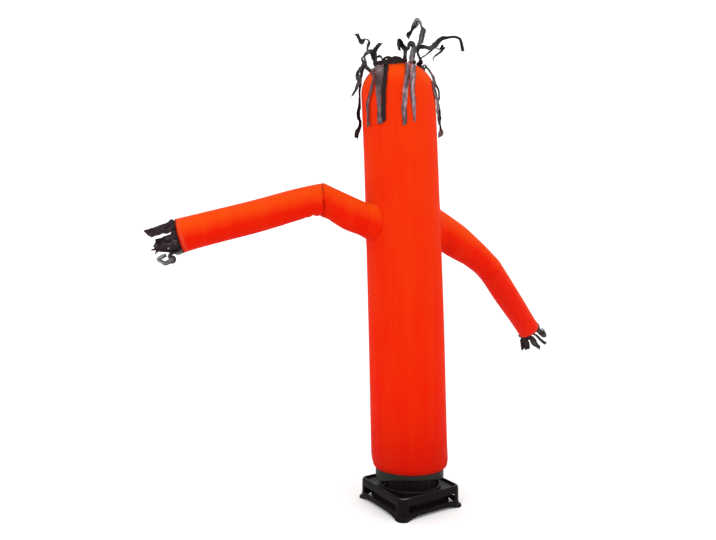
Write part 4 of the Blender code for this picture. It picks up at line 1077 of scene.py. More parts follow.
def build_lifted(material):
    """Each ribbon starts on the inner ring seam and follows its points through the air."""
    for number, seam_deg, full, points in LIFTED:
        root, out = seam_point(INNER_RING, seam_deg)
        line = strip_line([root, root + ROOT_RUN * (0.5 * out + 0.87 * UP)],
                          placed_rows(crown_top(), points))
        first = np.cross(out, UP)
        wide, width = facing_front(line, full / 1000.0, first, 1.0 if number % 2 else -1.0)
        ribbon_piece("lifted_ribbon", "ribbon_lift", number, line, wide, width, 20 + number, 0.12, material)


# ---- blower stand ----
STAND_HALF = 0.1625
STAND_TURN = math.radians(-5.5)     # the stand's turn from the line of the sleeves
STAND_CORNER = 0.032
STAND_TOP = 0.090
STAND_WALL = 0.004
RIM_WIDTH = 0.017
# Painted highlight: the bright spot painted on the rim's crest is centred here, beside the front corner.
HIGHLIGHT_SPOT = (-0.1690, -0.1600, 0.090)     # where the rim is rubbed most, beside the front corner
RIM_BOTTOM = 0.062
DECK_Z = 0.081
FOOT_FLARE = 0.010
FOOT_SHARE = 0.98
FOOT_POWER = 5.0
ARCH_RISE = 0.012
WINDOW_HALF = 0.126
WINDOW_ROUND = 0.012
WINDOW_Z = (0.030, 0.060)
CORNER_POINTS = 13
SIDE_POINTS = 36
DRUM_RADIUS = 0.126
RING_RADIUS = 0.139
COLLAR_RADIUS = 0.1515
LIP_Z = (0.147, 0.205)
RIB_FOOT_Z = 0.094
# The housing is partly the blower's fan housing and partly a dark mass that fills the stand's inside, where
# there is only shade.
HOUSING_HALF = 0.138
HOUSING_Z = (0.013, 0.0762)
DRUM_RIBS = 24
KNOB_Z = 0.106
KNOB_TURN_DEG = -57.5
KNOB_COUNT = 3
TURNED_SIDES = 288


def square_ring(half, z, flare=0.0, arch=0.0):
    """A square with round corners, as one ring. It flares at the corners and arches up between them."""
    radius = STAND_CORNER + half - STAND_HALF
    straight = half - radius
    arc = np.radians(np.linspace(0.0, 90.0, CORNER_POINTS))
    corner = np.stack([straight + radius * np.cos(arc), straight + radius * np.sin(arc)], axis=1)
    run = np.linspace(straight, -straight, SIDE_POINTS + 2)[1:-1]
    quarter = np.vstack([corner, np.stack([run, np.full(len(run), half)], axis=1)])
    turns = [np.array([[c, -s], [s, c]]) for c, s in ((1.0, 0.0), (0.0, 1.0), (-1.0, 0.0), (0.0, -1.0))]
    points = np.vstack([quarter @ turn.T for turn in turns])
    along = np.min(np.abs(points), axis=1) / straight
    rise = arch * ramp(1.0 - (along / FOOT_SHARE) ** FOOT_POWER)
    push = 1.0 + flare / half * ramp(0.35 + 0.65 * along ** 4)
    return np.column_stack([points * push[:, None], z + rise])


def round_ring(radius, z):
    """A round ring of as many points as a square ring, starting at the same corner."""
    count = 4 * (CORNER_POINTS + SIDE_POINTS)
    first = 45.0 - (CORNER_POINTS - 1) / 2.0 * 360.0 / count
    turn = np.radians(first + np.arange(count) * 360.0 / count)
    return np.stack([radius * np.cos(turn), radius * np.sin(turn), np.full(count, z)], axis=1)


def quarter_round(first, last, steps, bulge):
    """Rows of half width and height from one to the other along a quarter ellipse."""
    t = np.radians(np.linspace(0.0, 90.0, steps))
    a, b = np.sin(t), 1.0 - np.cos(t)
    share = np.stack([a, b] if bulge else [b, a], axis=1)
    return np.asarray(first) + (np.asarray(last) - np.asarray(first)) * share


def plain_mesh(name, points, faces):
    """A bare mesh object, for cutting or to be cut."""
    mesh = bpy.data.meshes.new(name)
    mesh.from_pydata(points.reshape(-1, 3).tolist(), [], [tuple(face) for face in faces])
    made = bpy.data.objects.new(name, mesh)
    bpy.context.scene.collection.objects.link(made)
    return made


def window_form():
    """A long slot with round ends, standing across the wall on the -Y side."""
    low, high = WINDOW_Z
    middle = (low + high) / 2.0
    radius = WINDOW_ROUND
    arc = np.radians(np.linspace(0.0, 90.0, 9))
    corner = np.stack([WINDOW_HALF - radius + radius * np.cos(arc),
                       high - middle - radius + radius * np.sin(arc)], 1)
    top = np.vstack([corner, corner[::-1] * (-1.0, 1.0)])
    outline = np.vstack([top, top[::-1] * (1.0, -1.0)])
    ring = [np.column_stack([outline[:, 0], np.full(len(outline), y), middle + outline[:, 1]])
            for y in (-STAND_HALF - 0.02, -STAND_HALF + 0.009)]
    points = np.stack(ring)
    count = len(outline)
    faces = grid_faces(2, count).tolist() + [list(range(count))[::-1], list(range(count, 2 * count))]
    return points, faces


def made_plain(made):
    """The object with its modifiers applied."""
    graph = bpy.context.evaluated_depsgraph_get()
    mesh = bpy.data.meshes.new_from_object(made.evaluated_get(graph))
    made.modifiers.clear()
    made.data = mesh
    return made


def settle_turned(made, slot, node_name):
    """Turns the finished mesh of a piece of the stand about the upright, and settles it."""
    made.data.transform(Matrix.Rotation(STAND_TURN, 4, "Z"))
    settle(made, slot, node_name)


def face_outwards(made):
    """Recalculates the normals of a closed shell."""
    soup = bmesh.new()
    soup.from_mesh(made.data)
    bmesh.ops.recalc_face_normals(soup, faces=soup.faces)
    soup.to_mesh(made.data)
    soup.free()


def finish_moulding(made, material, sharp_deg=42.0):
    """Smooth shading with sharp edges past this angle, and the material."""
    made.data.shade_smooth()
    made.data.set_sharp_from_angle(angle=math.radians(sharp_deg))
    made.data.materials.clear()
    made.data.materials.append(material)


def build_stand(material):
    """The stand's moulding: flared feet, posts, a rolled rim, the deck and a window in each wall."""
    h = STAND_HALF
    outer = [(h, 0.0, FOOT_FLARE, ARCH_RISE), (h, 0.0035, FOOT_FLARE, ARCH_RISE),
             (h, 0.0055, FOOT_FLARE * 0.93, ARCH_RISE * 0.95),
             (h, 0.0075, FOOT_FLARE * 0.72, ARCH_RISE * 0.86),
             (h, 0.0105, FOOT_FLARE * 0.46, ARCH_RISE * 0.70),
             (h, 0.015, FOOT_FLARE * 0.20, ARCH_RISE * 0.40),
             (h, 0.020, FOOT_FLARE * 0.06, ARCH_RISE * 0.15), (h, 0.026, 0.0, 0.0),
             (h - 0.0001, 0.045, 0.0, 0.0),
             (h - 0.0003, 0.066, 0.0, 0.0), (h - 0.0005, STAND_TOP - 0.014, 0.0, 0.0)]
    rings = [square_ring(*row) for row in outer]
    inner = h - RIM_WIDTH
    rolled = quarter_round((h - 0.0005, STAND_TOP - 0.012), (h - RIM_WIDTH * 0.52, STAND_TOP), 7, False)
    falling = quarter_round((h - RIM_WIDTH * 0.62, STAND_TOP), (h - RIM_WIDTH * 0.92, STAND_TOP - 0.004), 5,
                            True)
    onto_deck = ((h - RIM_WIDTH * 0.96, DECK_Z + 0.0022), (inner - 0.0004, DECK_Z + 0.0005),
                 (inner - 0.002, DECK_Z))
    rings += [square_ring(half, z) for half, z in (*rolled, *falling, *onto_deck)]
    hole = DRUM_RADIUS + 0.0006
    rings += [round_ring(hole + 0.001, DECK_Z), round_ring(hole, DECK_Z - 0.001),
              round_ring(hole, DECK_Z - STAND_WALL)]
    rings += [square_ring(half, z) for half, z in (
        (inner, DECK_Z - STAND_WALL), (inner + 0.001, RIM_BOTTOM + 0.003), (inner + 0.0025, RIM_BOTTOM),
        (h - STAND_WALL - 0.001, RIM_BOTTOM - 0.0002),
        (h - STAND_WALL, RIM_BOTTOM - 0.0015), (h - STAND_WALL, 0.026))]
    rings += [square_ring(h - STAND_WALL, 0.012, 0.0, ARCH_RISE * 0.6),
              square_ring(h - 2.0 * STAND_WALL, 0.0, 0.0, ARCH_RISE)]
    points = np.stack(rings)
    stand = plain_mesh("stand_moulding", points, grid_faces(len(rings), points.shape[1], joined=True))
    face_outwards(stand)
    form, faces = window_form()
    cutters = []
    for turn in range(4):
        tool = plain_mesh(f"window_form_{turn + 1}", form, faces)
        tool.rotation_euler = (0.0, 0.0, turn * math.pi / 2.0)
        face_outwards(tool)
        cut = stand.modifiers.new("window", "BOOLEAN")
        cut.operation = "DIFFERENCE"
        cut.solver = "EXACT"
        cut.object = tool
        cutters.append(tool)
    bpy.context.view_layer.update()
    made_plain(stand)
    for tool in cutters:
        bpy.data.objects.remove(tool, do_unlink=True)
    edge = stand.modifiers.new("rounded edges", "BEVEL")
    edge.width = 0.0009
    edge.segments = 2
    edge.limit_method = "ANGLE"
    edge.angle_limit = math.radians(50.0)
    made_plain(stand)
    finish_moulding(stand, material)
    settle_turned(stand, "black_plastic", "stand")


def turned_piece(name, node_name, rows, material, ribs=(), drop=None):
    """A closed turned form from rows of radius and height, and maybe a third number, the row's share of the
    drop.

    Ribs are heights round the turn for named rows, and the drop is how far rows hang lower at each turn.
    """
    turn = np.linspace(0.0, 2.0 * math.pi, TURNED_SIDES, endpoint=False)
    radius = np.array([row[0] for row in rows])[:, None] + np.zeros((1, TURNED_SIDES))
    for height, on_rows in ribs:
        radius[on_rows] += height(turn)
    z = np.array([row[1] for row in rows])[:, None] + 0.0 * radius
    if drop is not None:
        z -= np.array([row[2] if len(row) > 2 else 0.0 for row in rows])[:, None] * drop(turn)
    points = np.stack([radius * np.cos(turn), radius * np.sin(turn), z], axis=-1)
    made = plain_mesh(name, points, grid_faces(len(rows), TURNED_SIDES, joined=True))
    face_outwards(made)
    finish_moulding(made, material)
    settle_turned(made, "black_plastic", node_name)


def drum_ribs(turn):
    """The drum's raised panels: a flat top over most of each step, soft sides and a groove between."""
    share = (turn * DRUM_RIBS / (2.0 * math.pi)) % 1.0
    centre = np.abs((share - 1.0 / 6.0 + 0.5) % 1.0 - 0.5)
    return 0.003 * ramp((0.30 - centre) / 0.045)


def lip_drop(turn):
    """How much lower the lip's foot is at this turn: level at the front and the back, low at the sides."""
    side = np.sin(turn + STAND_TURN - (FRONT_TURN - math.pi / 2.0))
    return 0.030 * np.abs(side) ** 3 + 0.012 * ramp(-side) ** 2


def housing_corners(turn):
    """How far the housing's rounded square stands out past the circle inside it."""
    shape = (np.abs(np.cos(turn)) ** 6.0 + np.abs(np.sin(turn)) ** 6.0) ** (1.0 / 6.0)
    return HOUSING_HALF * (1.0 / shape - 1.0)


def build_collar(material):
    """The outlet: a smooth lip that the cloth grips, the ribbed drum, and the dark housing below, which also
    stands in for the shade inside the stand.
    """
    low, high = LIP_Z
    bore, lip_bore = DRUM_RADIUS - 0.004, COLLAR_RADIUS - 0.004
    rows = [(lip_bore + 0.001, high), (COLLAR_RADIUS - 0.001, high), (COLLAR_RADIUS, high - 0.002),
            (COLLAR_RADIUS, low + 0.0016, 1.0), (COLLAR_RADIUS - 0.0008, low + 0.0002, 1.0),
            (COLLAR_RADIUS - 0.003, low - 0.002, 1.0), (COLLAR_RADIUS - 0.008, low - 0.0045, 1.0),
            (DRUM_RADIUS + 0.0032, low - 0.005, 1.0), (DRUM_RADIUS + 0.0012, low - 0.0065, 1.0)]
    first = len(rows)
    rows += [(DRUM_RADIUS, low - 0.008, 0.99), (DRUM_RADIUS, low - 0.012, 0.9),
             (DRUM_RADIUS, (low + RIB_FOOT_Z) / 2.0, 0.5),
             (DRUM_RADIUS, RIB_FOOT_Z + 0.002), (DRUM_RADIUS, RIB_FOOT_Z)]
    on_rows = list(range(first, len(rows)))
    foot, top = HOUSING_Z
    rows += [(DRUM_RADIUS, RIB_FOOT_Z - 0.0015), (DRUM_RADIUS, DECK_Z), (DRUM_RADIUS, top)]
    square = list(range(len(rows), len(rows) + 4))
    rows += [(HOUSING_HALF - 0.002, top - 0.0002), (HOUSING_HALF, top - 0.002), (HOUSING_HALF, foot + 0.002),
             (HOUSING_HALF - 0.002, foot), (bore + 0.001, foot), (bore, foot + 0.001), (bore, low - 0.002),
             (lip_bore, low + 0.004), (lip_bore, high - 0.001)]
    turned_piece("outlet_drum", "outlet_collar", rows, material,
                 ((drum_ribs, on_rows), (housing_corners, square)), lip_drop)


def build_deck_ring(material):
    """The bead round the drum's foot: a low step with a rolled edge."""
    low = DECK_Z + GAP
    inner, outer = DRUM_RADIUS + 0.0008, RING_RADIUS
    t = np.radians(np.linspace(0.0, 180.0, 11))
    crown = (inner + outer) / 2.0
    roll = [(crown + 0.0028 * math.cos(a), low + 0.0062 + 0.0026 * math.sin(a)) for a in t[1:-1]]
    rows = [(outer, low), (outer, low + 0.0048), (outer - 0.0006, low + 0.0056), *roll, (inner, low + 0.0066),
            (inner, low)]
    turned_piece("drum_bead", "deck_ring", rows, material)


def build_knobs(material):
    """Domed knobs round the drum: each a turned cap with a finely fluted side, pointing straight out."""
    profile = np.array([(0.0078, 0.0), (0.0080, 0.0006), (0.0080, 0.0046), (0.0078, 0.0056), (0.0070, 0.0074),
                        (0.0054, 0.0088), (0.0034, 0.0097), (0.0016, 0.0100)])
    turn = np.linspace(0.0, 2.0 * math.pi, 48, endpoint=False)
    knurl = 1.0 + 0.02 * np.cos(16.0 * turn)
    for number in range(KNOB_COUNT):
        heading = math.radians(KNOB_TURN_DEG + 360.0 / KNOB_COUNT * number)
        out = np.array([math.cos(heading), math.sin(heading), 0.0])
        side = np.array([-out[1], out[0], 0.0])
        radius = profile[:, :1] * np.where(profile[:, 1:] < 0.005, knurl, 1.0)
        foot = out * (DRUM_RADIUS + 0.003 + GAP) + UP * KNOB_Z
        points = (foot + profile[:, 1][:, None, None] * out + (radius * np.cos(turn))[..., None] * side
                  + (radius * np.sin(turn))[..., None] * UP)
        flat = np.vstack([points.reshape(-1, 3), foot, foot + out * 0.0101])
        rows, columns = points.shape[:2]
        count = rows * columns
        ring = np.arange(columns)
        nxt = (ring + 1) % columns
        faces = grid_faces(rows, columns).tolist()
        faces += np.stack([nxt, ring, np.full(columns, count)], axis=1).tolist()
        top = (rows - 1) * columns
        faces += np.stack([top + ring, top + nxt, np.full(columns, count + 1)], axis=1).tolist()
        knob = plain_mesh(f"collar_screw_{number + 1}", flat, faces)
        face_outwards(knob)
        finish_moulding(knob, material, 45.0)
        settle_turned(knob, "dark_knob", f"collar_knob_{number + 1}")


# ---- materials ----
def feed(tree, made, inputs):
    """Joins or sets a node's inputs, by name or number."""
    for key, value in inputs.items():
        if isinstance(value, bpy.types.NodeSocket):
            tree.links.new(value, made.inputs[key])
        else:
            made.inputs[key].default_value = value
    return made


def node(tree, kind, inputs=None, **settings):
    """Adds a node with these settings and inputs."""
    made = tree.nodes.new(kind)
    for key, value in settings.items():
        setattr(made, key, value)
    return feed(tree, made, inputs or {})


def maths(tree, operation, a, b=0.0, c=0.0, clamp=False):
    return node(tree, "ShaderNodeMath", {0: a, 1: b, 2: c}, operation=operation, use_clamp=clamp).outputs[0]


def times(tree, a, b, clamp=False):
    return maths(tree, "MULTIPLY", a, b, clamp=clamp)


def new_group(name, place, values, results):
    """A shader node group: a vector input called place, if any, numbers with defaults, and results."""
    tree = bpy.data.node_groups.new(name, "ShaderNodeTree")
    if place:
        tree.interface.new_socket(place, in_out="INPUT", socket_type="NodeSocketVector")
    for label, default in values.items():
        socket = tree.interface.new_socket(label, in_out="INPUT", socket_type="NodeSocketFloat")
        socket.default_value = default
    for label in results:
        tree.interface.new_socket(label, in_out="OUTPUT", socket_type="NodeSocketFloat")
    return tree, tree.nodes.new("NodeGroupInput").outputs, tree.nodes.new("NodeGroupOutput")


def use_group(tree, group, inputs):
    """The outputs of a node group placed in this tree with these inputs."""
    return node(tree, "ShaderNodeGroup", inputs, node_tree=group).outputs


def spread(tree, value, low, high, to_low=0.0, to_high=1.0):
    """A value mapped in a straight line from one range to another, and held at its ends."""
    ends = {"Value": value, "From Min": low, "From Max": high, "To Min": to_low, "To Max": to_high}
    return node(tree, "ShaderNodeMapRange", ends).outputs[0]


def noise(tree, place, scale, detail, roughness=0.5):
    parts = {"Vector": place, "Scale": scale, "Detail": detail, "Roughness": roughness}
    return node(tree, "ShaderNodeTexNoise", parts).outputs[0]


def split_xyz(tree, vector):
    return node(tree, "ShaderNodeSeparateXYZ", {0: vector}).outputs


def facing(tree):
    """The parts of the surface's own outward direction."""
    return split_xyz(tree, node(tree, "ShaderNodeNewGeometry").outputs["Normal"])


def mask(tree, name):
    """A mask that the mesh carries on its points."""
    return node(tree, "ShaderNodeAttribute", attribute_name=name).outputs["Fac"]


def mottled(tree, place, scale, detail, low, high):
    """Uneven patches between two values, from the shared group."""
    return use_group(tree, shared_group("soft_mottle", mottle_group),
                     {"Position": place, "Scale": scale, "Detail": detail, "Low": low, "High": high})["Value"]


def weave_group():
    """Woven cloth: two crossed sine waves of threads, and the thicker threads of a small square grid."""
    tree, given, result = new_group(
        "woven_cloth", "Cloth position", {"Threads per metre": 900.0, "Grid per metre": 160.0},
        ("Height", "Grid"))
    waves, lines = [], []
    for along in split_xyz(tree, given["Cloth position"])[:2]:
        turns = times(tree, along, given["Threads per metre"])
        waves.append(maths(tree, "SINE", times(tree, turns, 2.0 * math.pi)))
        cell = maths(tree, "FRACT", times(tree, along, given["Grid per metre"]))
        lines.append(maths(tree, "LESS_THAN", cell, 0.14))
    over = times(tree, waves[0], waves[1])
    grid = maths(tree, "MAXIMUM", lines[0], lines[1])
    height = maths(tree, "MULTIPLY_ADD", over, 0.5, maths(tree, "MULTIPLY_ADD", grid, 0.6, 0.5))
    feed(tree, result, {"Height": height, "Grid": grid})
    return tree


def mottle_group():
    """Soft uneven patches from noise, spread between a low and a high value."""
    tree, given, result = new_group(
        "soft_mottle", "Position", {"Scale": 6.0, "Detail": 3.0, "Low": 0.0, "High": 1.0}, ("Value",))
    patches = noise(tree, given["Position"], given["Scale"], given["Detail"], 0.55)
    feed(tree, result, {"Value": spread(tree, patches, 0.3, 0.7, given["Low"], given["High"])})
    return tree


def stitch_group():
    """A sewn row: dashes along a line, and the shallow furrow that the thread pulls."""
    tree, given, result = new_group(
        "stitch_row", None, {"Offset": 0.0, "Along": 0.0, "Pitch": 0.0035, "Width": 0.0009},
        ("Thread", "Furrow"))
    away = maths(tree, "ABSOLUTE", given["Offset"])
    wide = given["Width"]
    on_line = maths(tree, "SUBTRACT", 1.0, maths(tree, "DIVIDE", away, wide), clamp=True)
    cell = maths(tree, "FRACT", maths(tree, "DIVIDE", given["Along"], given["Pitch"]))
    dash = maths(tree, "GREATER_THAN", cell, 0.28)
    thread = times(tree, maths(tree, "GREATER_THAN", on_line, 0.35), dash)
    reach = times(tree, wide, 4.0)
    furrow = maths(tree, "SUBTRACT", 1.0, maths(tree, "DIVIDE", away, reach), clamp=True)
    feed(tree, result, {"Thread": thread, "Furrow": furrow})
    return tree


def dust_group():
    """Dust and fine scuffs: a mask of what lies on upward faces, and thin noise for rubbed marks."""
    tree, given, result = new_group("dust_and_scuffs", "Position", {"Amount": 0.3}, ("Dust", "Scuff"))
    up = spread(tree, facing(tree)[2], 0.2, 1.0)
    patch = spread(tree, noise(tree, given["Position"], 34.0, 6.0), 0.4, 0.75)
    dust = times(tree, times(tree, up, patch), given["Amount"])
    stretch = node(tree, "ShaderNodeMapping", {"Vector": given["Position"], "Scale": (30.0, 260.0, 60.0),
                                               "Rotation": (0.3, 0.2, 0.7)})
    scuff = spread(tree, noise(tree, stretch.outputs[0], 1.0, 3.0), 0.62, 0.72)
    feed(tree, result, {"Dust": dust, "Scuff": scuff})
    return tree


def shared_group(name, build):
    return bpy.data.node_groups.get(name) or build()


def blank_material(name):
    material = bpy.data.materials.get(name)
    if material:
        return material, None, None
    material = bpy.data.materials.new(name)
    material.use_nodes = True
    return material, material.node_tree, material.node_tree.nodes["Principled BSDF"]


def mixed(tree, factor, first, second):
    """A mix of two colours by a factor."""
    return node(tree, "ShaderNodeMix", {0: factor, 6: first, 7: second}, data_type="RGBA").outputs[2]


def light_fall_group():
    """Painted light and shade of the cloth: upward faces and the upper part are lit, and it is shaded low
    down.
    """
    tree, given, result = new_group("painted_light_fall", "Position", {}, ("Fade", "Shade low down"))
    height = split_xyz(tree, given["Position"])[2]
    sky = maths(tree, "MULTIPLY_ADD", height, 0.2, facing(tree)[2])
    fade = maths(tree, "DIVIDE", maths(tree, "ADD", sky, 0.01), 0.8, clamp=True)
    # Painted shade: the cloth is darker towards the bottom.
    low_shade = maths(tree, "POWER", spread(tree, height, 0.62, 0.15), 2.3, clamp=True)
    feed(tree, result, {"Fade": fade, "Shade low down": low_shade})
    return tree


def nylon_material():
    """Coated orange-red nylon: fine weave, faint grid and bands, painted light and shade, painted highlights
    on the folds, deeper where doubled.
    """
    cloth = bpy.context.scene.dancer_cloth
    material, tree, shader = blank_material("orange_red_nylon_cloth")
    if tree is None:
        return material
    position = node(tree, "ShaderNodeTexCoord").outputs["Object"]
    on_cloth = node(tree, "ShaderNodeUVMap", uv_map="UVMap").outputs[0]
    doubled_and_shade = mask(tree, "doubled_and_shade")
    weave = use_group(tree, shared_group("woven_cloth", weave_group), {"Cloth position": on_cloth})
    upright = node(tree, "ShaderNodeMapping", {"Vector": position, "Scale": (1.0, 1.0, 0.06)})
    bands = mottled(tree, upright.outputs[0], 26.0, 2.0, -0.09, 0.09)
    patches = mottled(tree, position, 5.0, 2.0, -0.07, 0.07)
    # Painted light and shade: upward faces and the upper tube are mixed towards the lit orange, the rest
    # stays the shaded red.
    light_fall = use_group(tree, shared_group("painted_light_fall", light_fall_group), {"Position": position})
    fade = maths(tree, "ADD", light_fall["Fade"], maths(tree, "ADD", bands, patches), clamp=True)
    base = mixed(tree, fade, (*cloth.shaded_side_colour, 1.0), (*cloth.colour, 1.0))
    # Painted shade low down on the tube, together with the deeper colour of doubled cloth.
    deeper = maths(tree, "MULTIPLY_ADD", light_fall["Shade low down"], 0.72, times(tree, doubled_and_shade, 0.45), clamp=True)
    base = mixed(tree, deeper, base, (*cloth.deep_colour, 1.0))
    # Painted shade: the dark edge line, where the mask passes one.
    edge = maths(tree, "SUBTRACT", doubled_and_shade, 1.0, clamp=True)
    base = mixed(tree, edge, base, (*cloth.edge_shade_colour, 1.0))
    # Painted highlight along the hem and cuff folds, in uneven patches.
    fold_highlight = mask(tree, "fold_highlight")
    paler_share = mottled(tree, position, 30.0, 3.0, 0.10, 0.50)
    base = mixed(tree, times(tree, fold_highlight, paler_share, clamp=True), base, (*cloth.fold_highlight_colour, 1.0))
    split = split_xyz(tree, on_cloth)
    stitch = shared_group("stitch_row", stitch_group)
    back = use_group(tree, stitch, {"Offset": maths(tree, "SUBTRACT", split[0], 0.006),
                                    "Along": split[1]})
    thread = mixed(tree, back["Thread"], base, (*[0.75 * c for c in cloth.deep_colour], 1.0))
    rough = mottled(tree, position, 14.0, 4.0, 0.50, 0.64)
    relief = maths(tree, "SUBTRACT", times(tree, weave["Height"], 0.35), back["Furrow"])
    dent = node(tree, "ShaderNodeBump", {"Height": relief, "Strength": 0.16, "Distance": 0.0006})
    feed(tree, shader, {"Base Color": thread, "Roughness": rough, "Normal": dent.outputs[0],
                        "Specular IOR Level": 0.02, "Sheen Weight": 0.01, "Sheen Roughness": 0.5,
                        "Sheen Tint": (1.0, 0.15, 0.03, 1.0)})
    return material


def ribbon_material():
    """Ribbon cloth: the ribbon's own black, mixed towards a lit colour by painted light and sheen, from the
    mesh's own mask and in fine streaks. The share of the lit colour is the square of the mask, and a second
    mask paints the tube's red reflection onto the threads close to it.
    """
    trim = bpy.context.scene.dancer_trim
    material, tree, shader = blank_material("charcoal_ribbon_cloth")
    if tree is None:
        return material
    on_cloth = node(tree, "ShaderNodeUVMap", uv_map="UVMap").outputs[0]
    painted_light_mask = mask(tree, "painted_light")
    weave = use_group(tree, shared_group("woven_cloth", weave_group),
                      {"Cloth position": on_cloth, "Threads per metre": 1400.0, "Grid per metre": 60.0})
    red_reflection = mask(tree, "red_reflection")
    stretched = node(tree, "ShaderNodeMapping", {"Vector": on_cloth, "Scale": (1.0, 0.12, 1.0)})
    streaks = mottled(tree, stretched.outputs[0], 190.0, 3.0, 0.65, 1.25)
    patches = mottled(tree, on_cloth, 45.0, 3.0, 0.86, 1.12)
    lit = times(tree, painted_light_mask, times(tree, streaks, patches))
    # Painted light and sheen: the share of the lit colour.
    painted_light = times(tree, lit, lit, clamp=True)
    # Painted reflection: red light from the tube shining back, on both the lit threads and the black.
    lit_tint = mixed(tree, red_reflection, (*trim.lit_sheen_colour, 1.0), (*trim.red_reflection_colour, 1.0))
    dark = mixed(tree, red_reflection, (*trim.colour, 1.0),
                 (*[v * c for v, c in zip((3.2, 1.3, 1.2), trim.colour)], 1.0))
    rough = mottled(tree, on_cloth, 60.0, 3.0, 0.40, 0.56)
    relief = maths(tree, "ADD", times(tree, weave["Height"], 0.3), streaks)
    dent = node(tree, "ShaderNodeBump", {"Height": relief, "Strength": 0.3, "Distance": 0.0005})
    feed(tree, shader, {"Base Color": mixed(tree, painted_light, dark, lit_tint), "Roughness": rough,
                        "Normal": dent.outputs[0], "Specular IOR Level": 0.10, "Sheen Weight": 0.02,
                        "Sheen Roughness": 0.35, "Sheen Tint": (0.85, 0.75, 0.82, 1.0)})
    return material


def plastic_material(name, roughness_low, roughness_high, grain):
    """Black moulded plastic: fine moulded grain, scuffs that dull it, a little dust on upward faces, a
    lighter greenish grey on the collar's lip, and painted highlights along the rim's crest and beside its
    front corner.
    """
    look = bpy.context.scene.dancer_stand
    material, tree, shader = blank_material(name)
    if tree is None:
        return material
    position = node(tree, "ShaderNodeTexCoord").outputs["Object"]
    wear = use_group(tree, shared_group("dust_and_scuffs", dust_group),
                     {"Position": position, "Amount": look.dust})
    patches = mottled(tree, position, 9.0, 3.0, 0.0, 0.9)
    warm = mixed(tree, patches, (*look.colour, 1.0), (0.0080, 0.0035, 0.0042, 1.0))
    above = split_xyz(tree, position)[2]
    level = node(tree, "ShaderNodeVectorMath", {0: position, 1: (1.0, 1.0, 0.0)},
                 operation="MULTIPLY").outputs[0]
    wide = node(tree, "ShaderNodeVectorMath", {0: level}, operation="LENGTH").outputs["Value"]
    # The lip's outer face, above the deck, is a lighter greenish grey.
    paler_share = spread(tree, wide, COLLAR_RADIUS - 0.004, COLLAR_RADIUS - 0.002)
    paler_share = times(tree, paler_share, maths(tree, "GREATER_THAN", above, STAND_TOP + 0.004))
    warm = mixed(tree, paler_share, warm, (0.016, 0.018, 0.0155, 1.0))
    # Painted highlight along the rim's crest, in uneven patches.
    off_top = maths(tree, "ABSOLUTE", maths(tree, "SUBTRACT", above, STAND_TOP))
    crest = spread(tree, off_top, 0.0012, 0.0002)
    highlight_mottle = mottled(tree, position, 16.0, 3.0, 0.1, 0.9)
    warm = mixed(tree, times(tree, crest, highlight_mottle, clamp=True), warm, (0.045, 0.040, 0.040, 1.0))
    # Painted highlight: a bright spot on the crest beside the front corner.
    reach = node(tree, "ShaderNodeVectorMath", {0: position, 1: HIGHLIGHT_SPOT},
                 operation="DISTANCE").outputs["Value"]
    spot = spread(tree, reach, 0.045, 0.008)
    warm = mixed(tree, times(tree, times(tree, crest, spot), highlight_mottle, clamp=True), warm,
                 (0.60, 0.56, 0.56, 1.0))
    dusty = mixed(tree, times(tree, wear["Dust"], 0.10), warm, (0.16, 0.15, 0.145, 1.0))
    rough = mottled(tree, position, 22.0, 4.0, roughness_low, roughness_high)
    rough = maths(tree, "ADD", maths(tree, "MULTIPLY_ADD", wear["Scuff"], 0.12, rough),
                  times(tree, wear["Dust"], 0.25), clamp=True)
    pebbles = noise(tree, position, 900.0, 2.0)
    dent = node(tree, "ShaderNodeBump", {"Height": pebbles, "Strength": grain, "Distance": 0.0002})
    feed(tree, shader, {"Base Color": dusty, "Roughness": rough, "Normal": dent.outputs[0], "IOR": 1.22,
                        "Specular IOR Level": 0.20})
    return material


# ---- stage ----
FLOOR_HALF = 14.0
CAMERA_ASIDE = 0.2309      # how far the camera looks past the stand's middle, to its left
PICTURE_WIDTH = 716.0


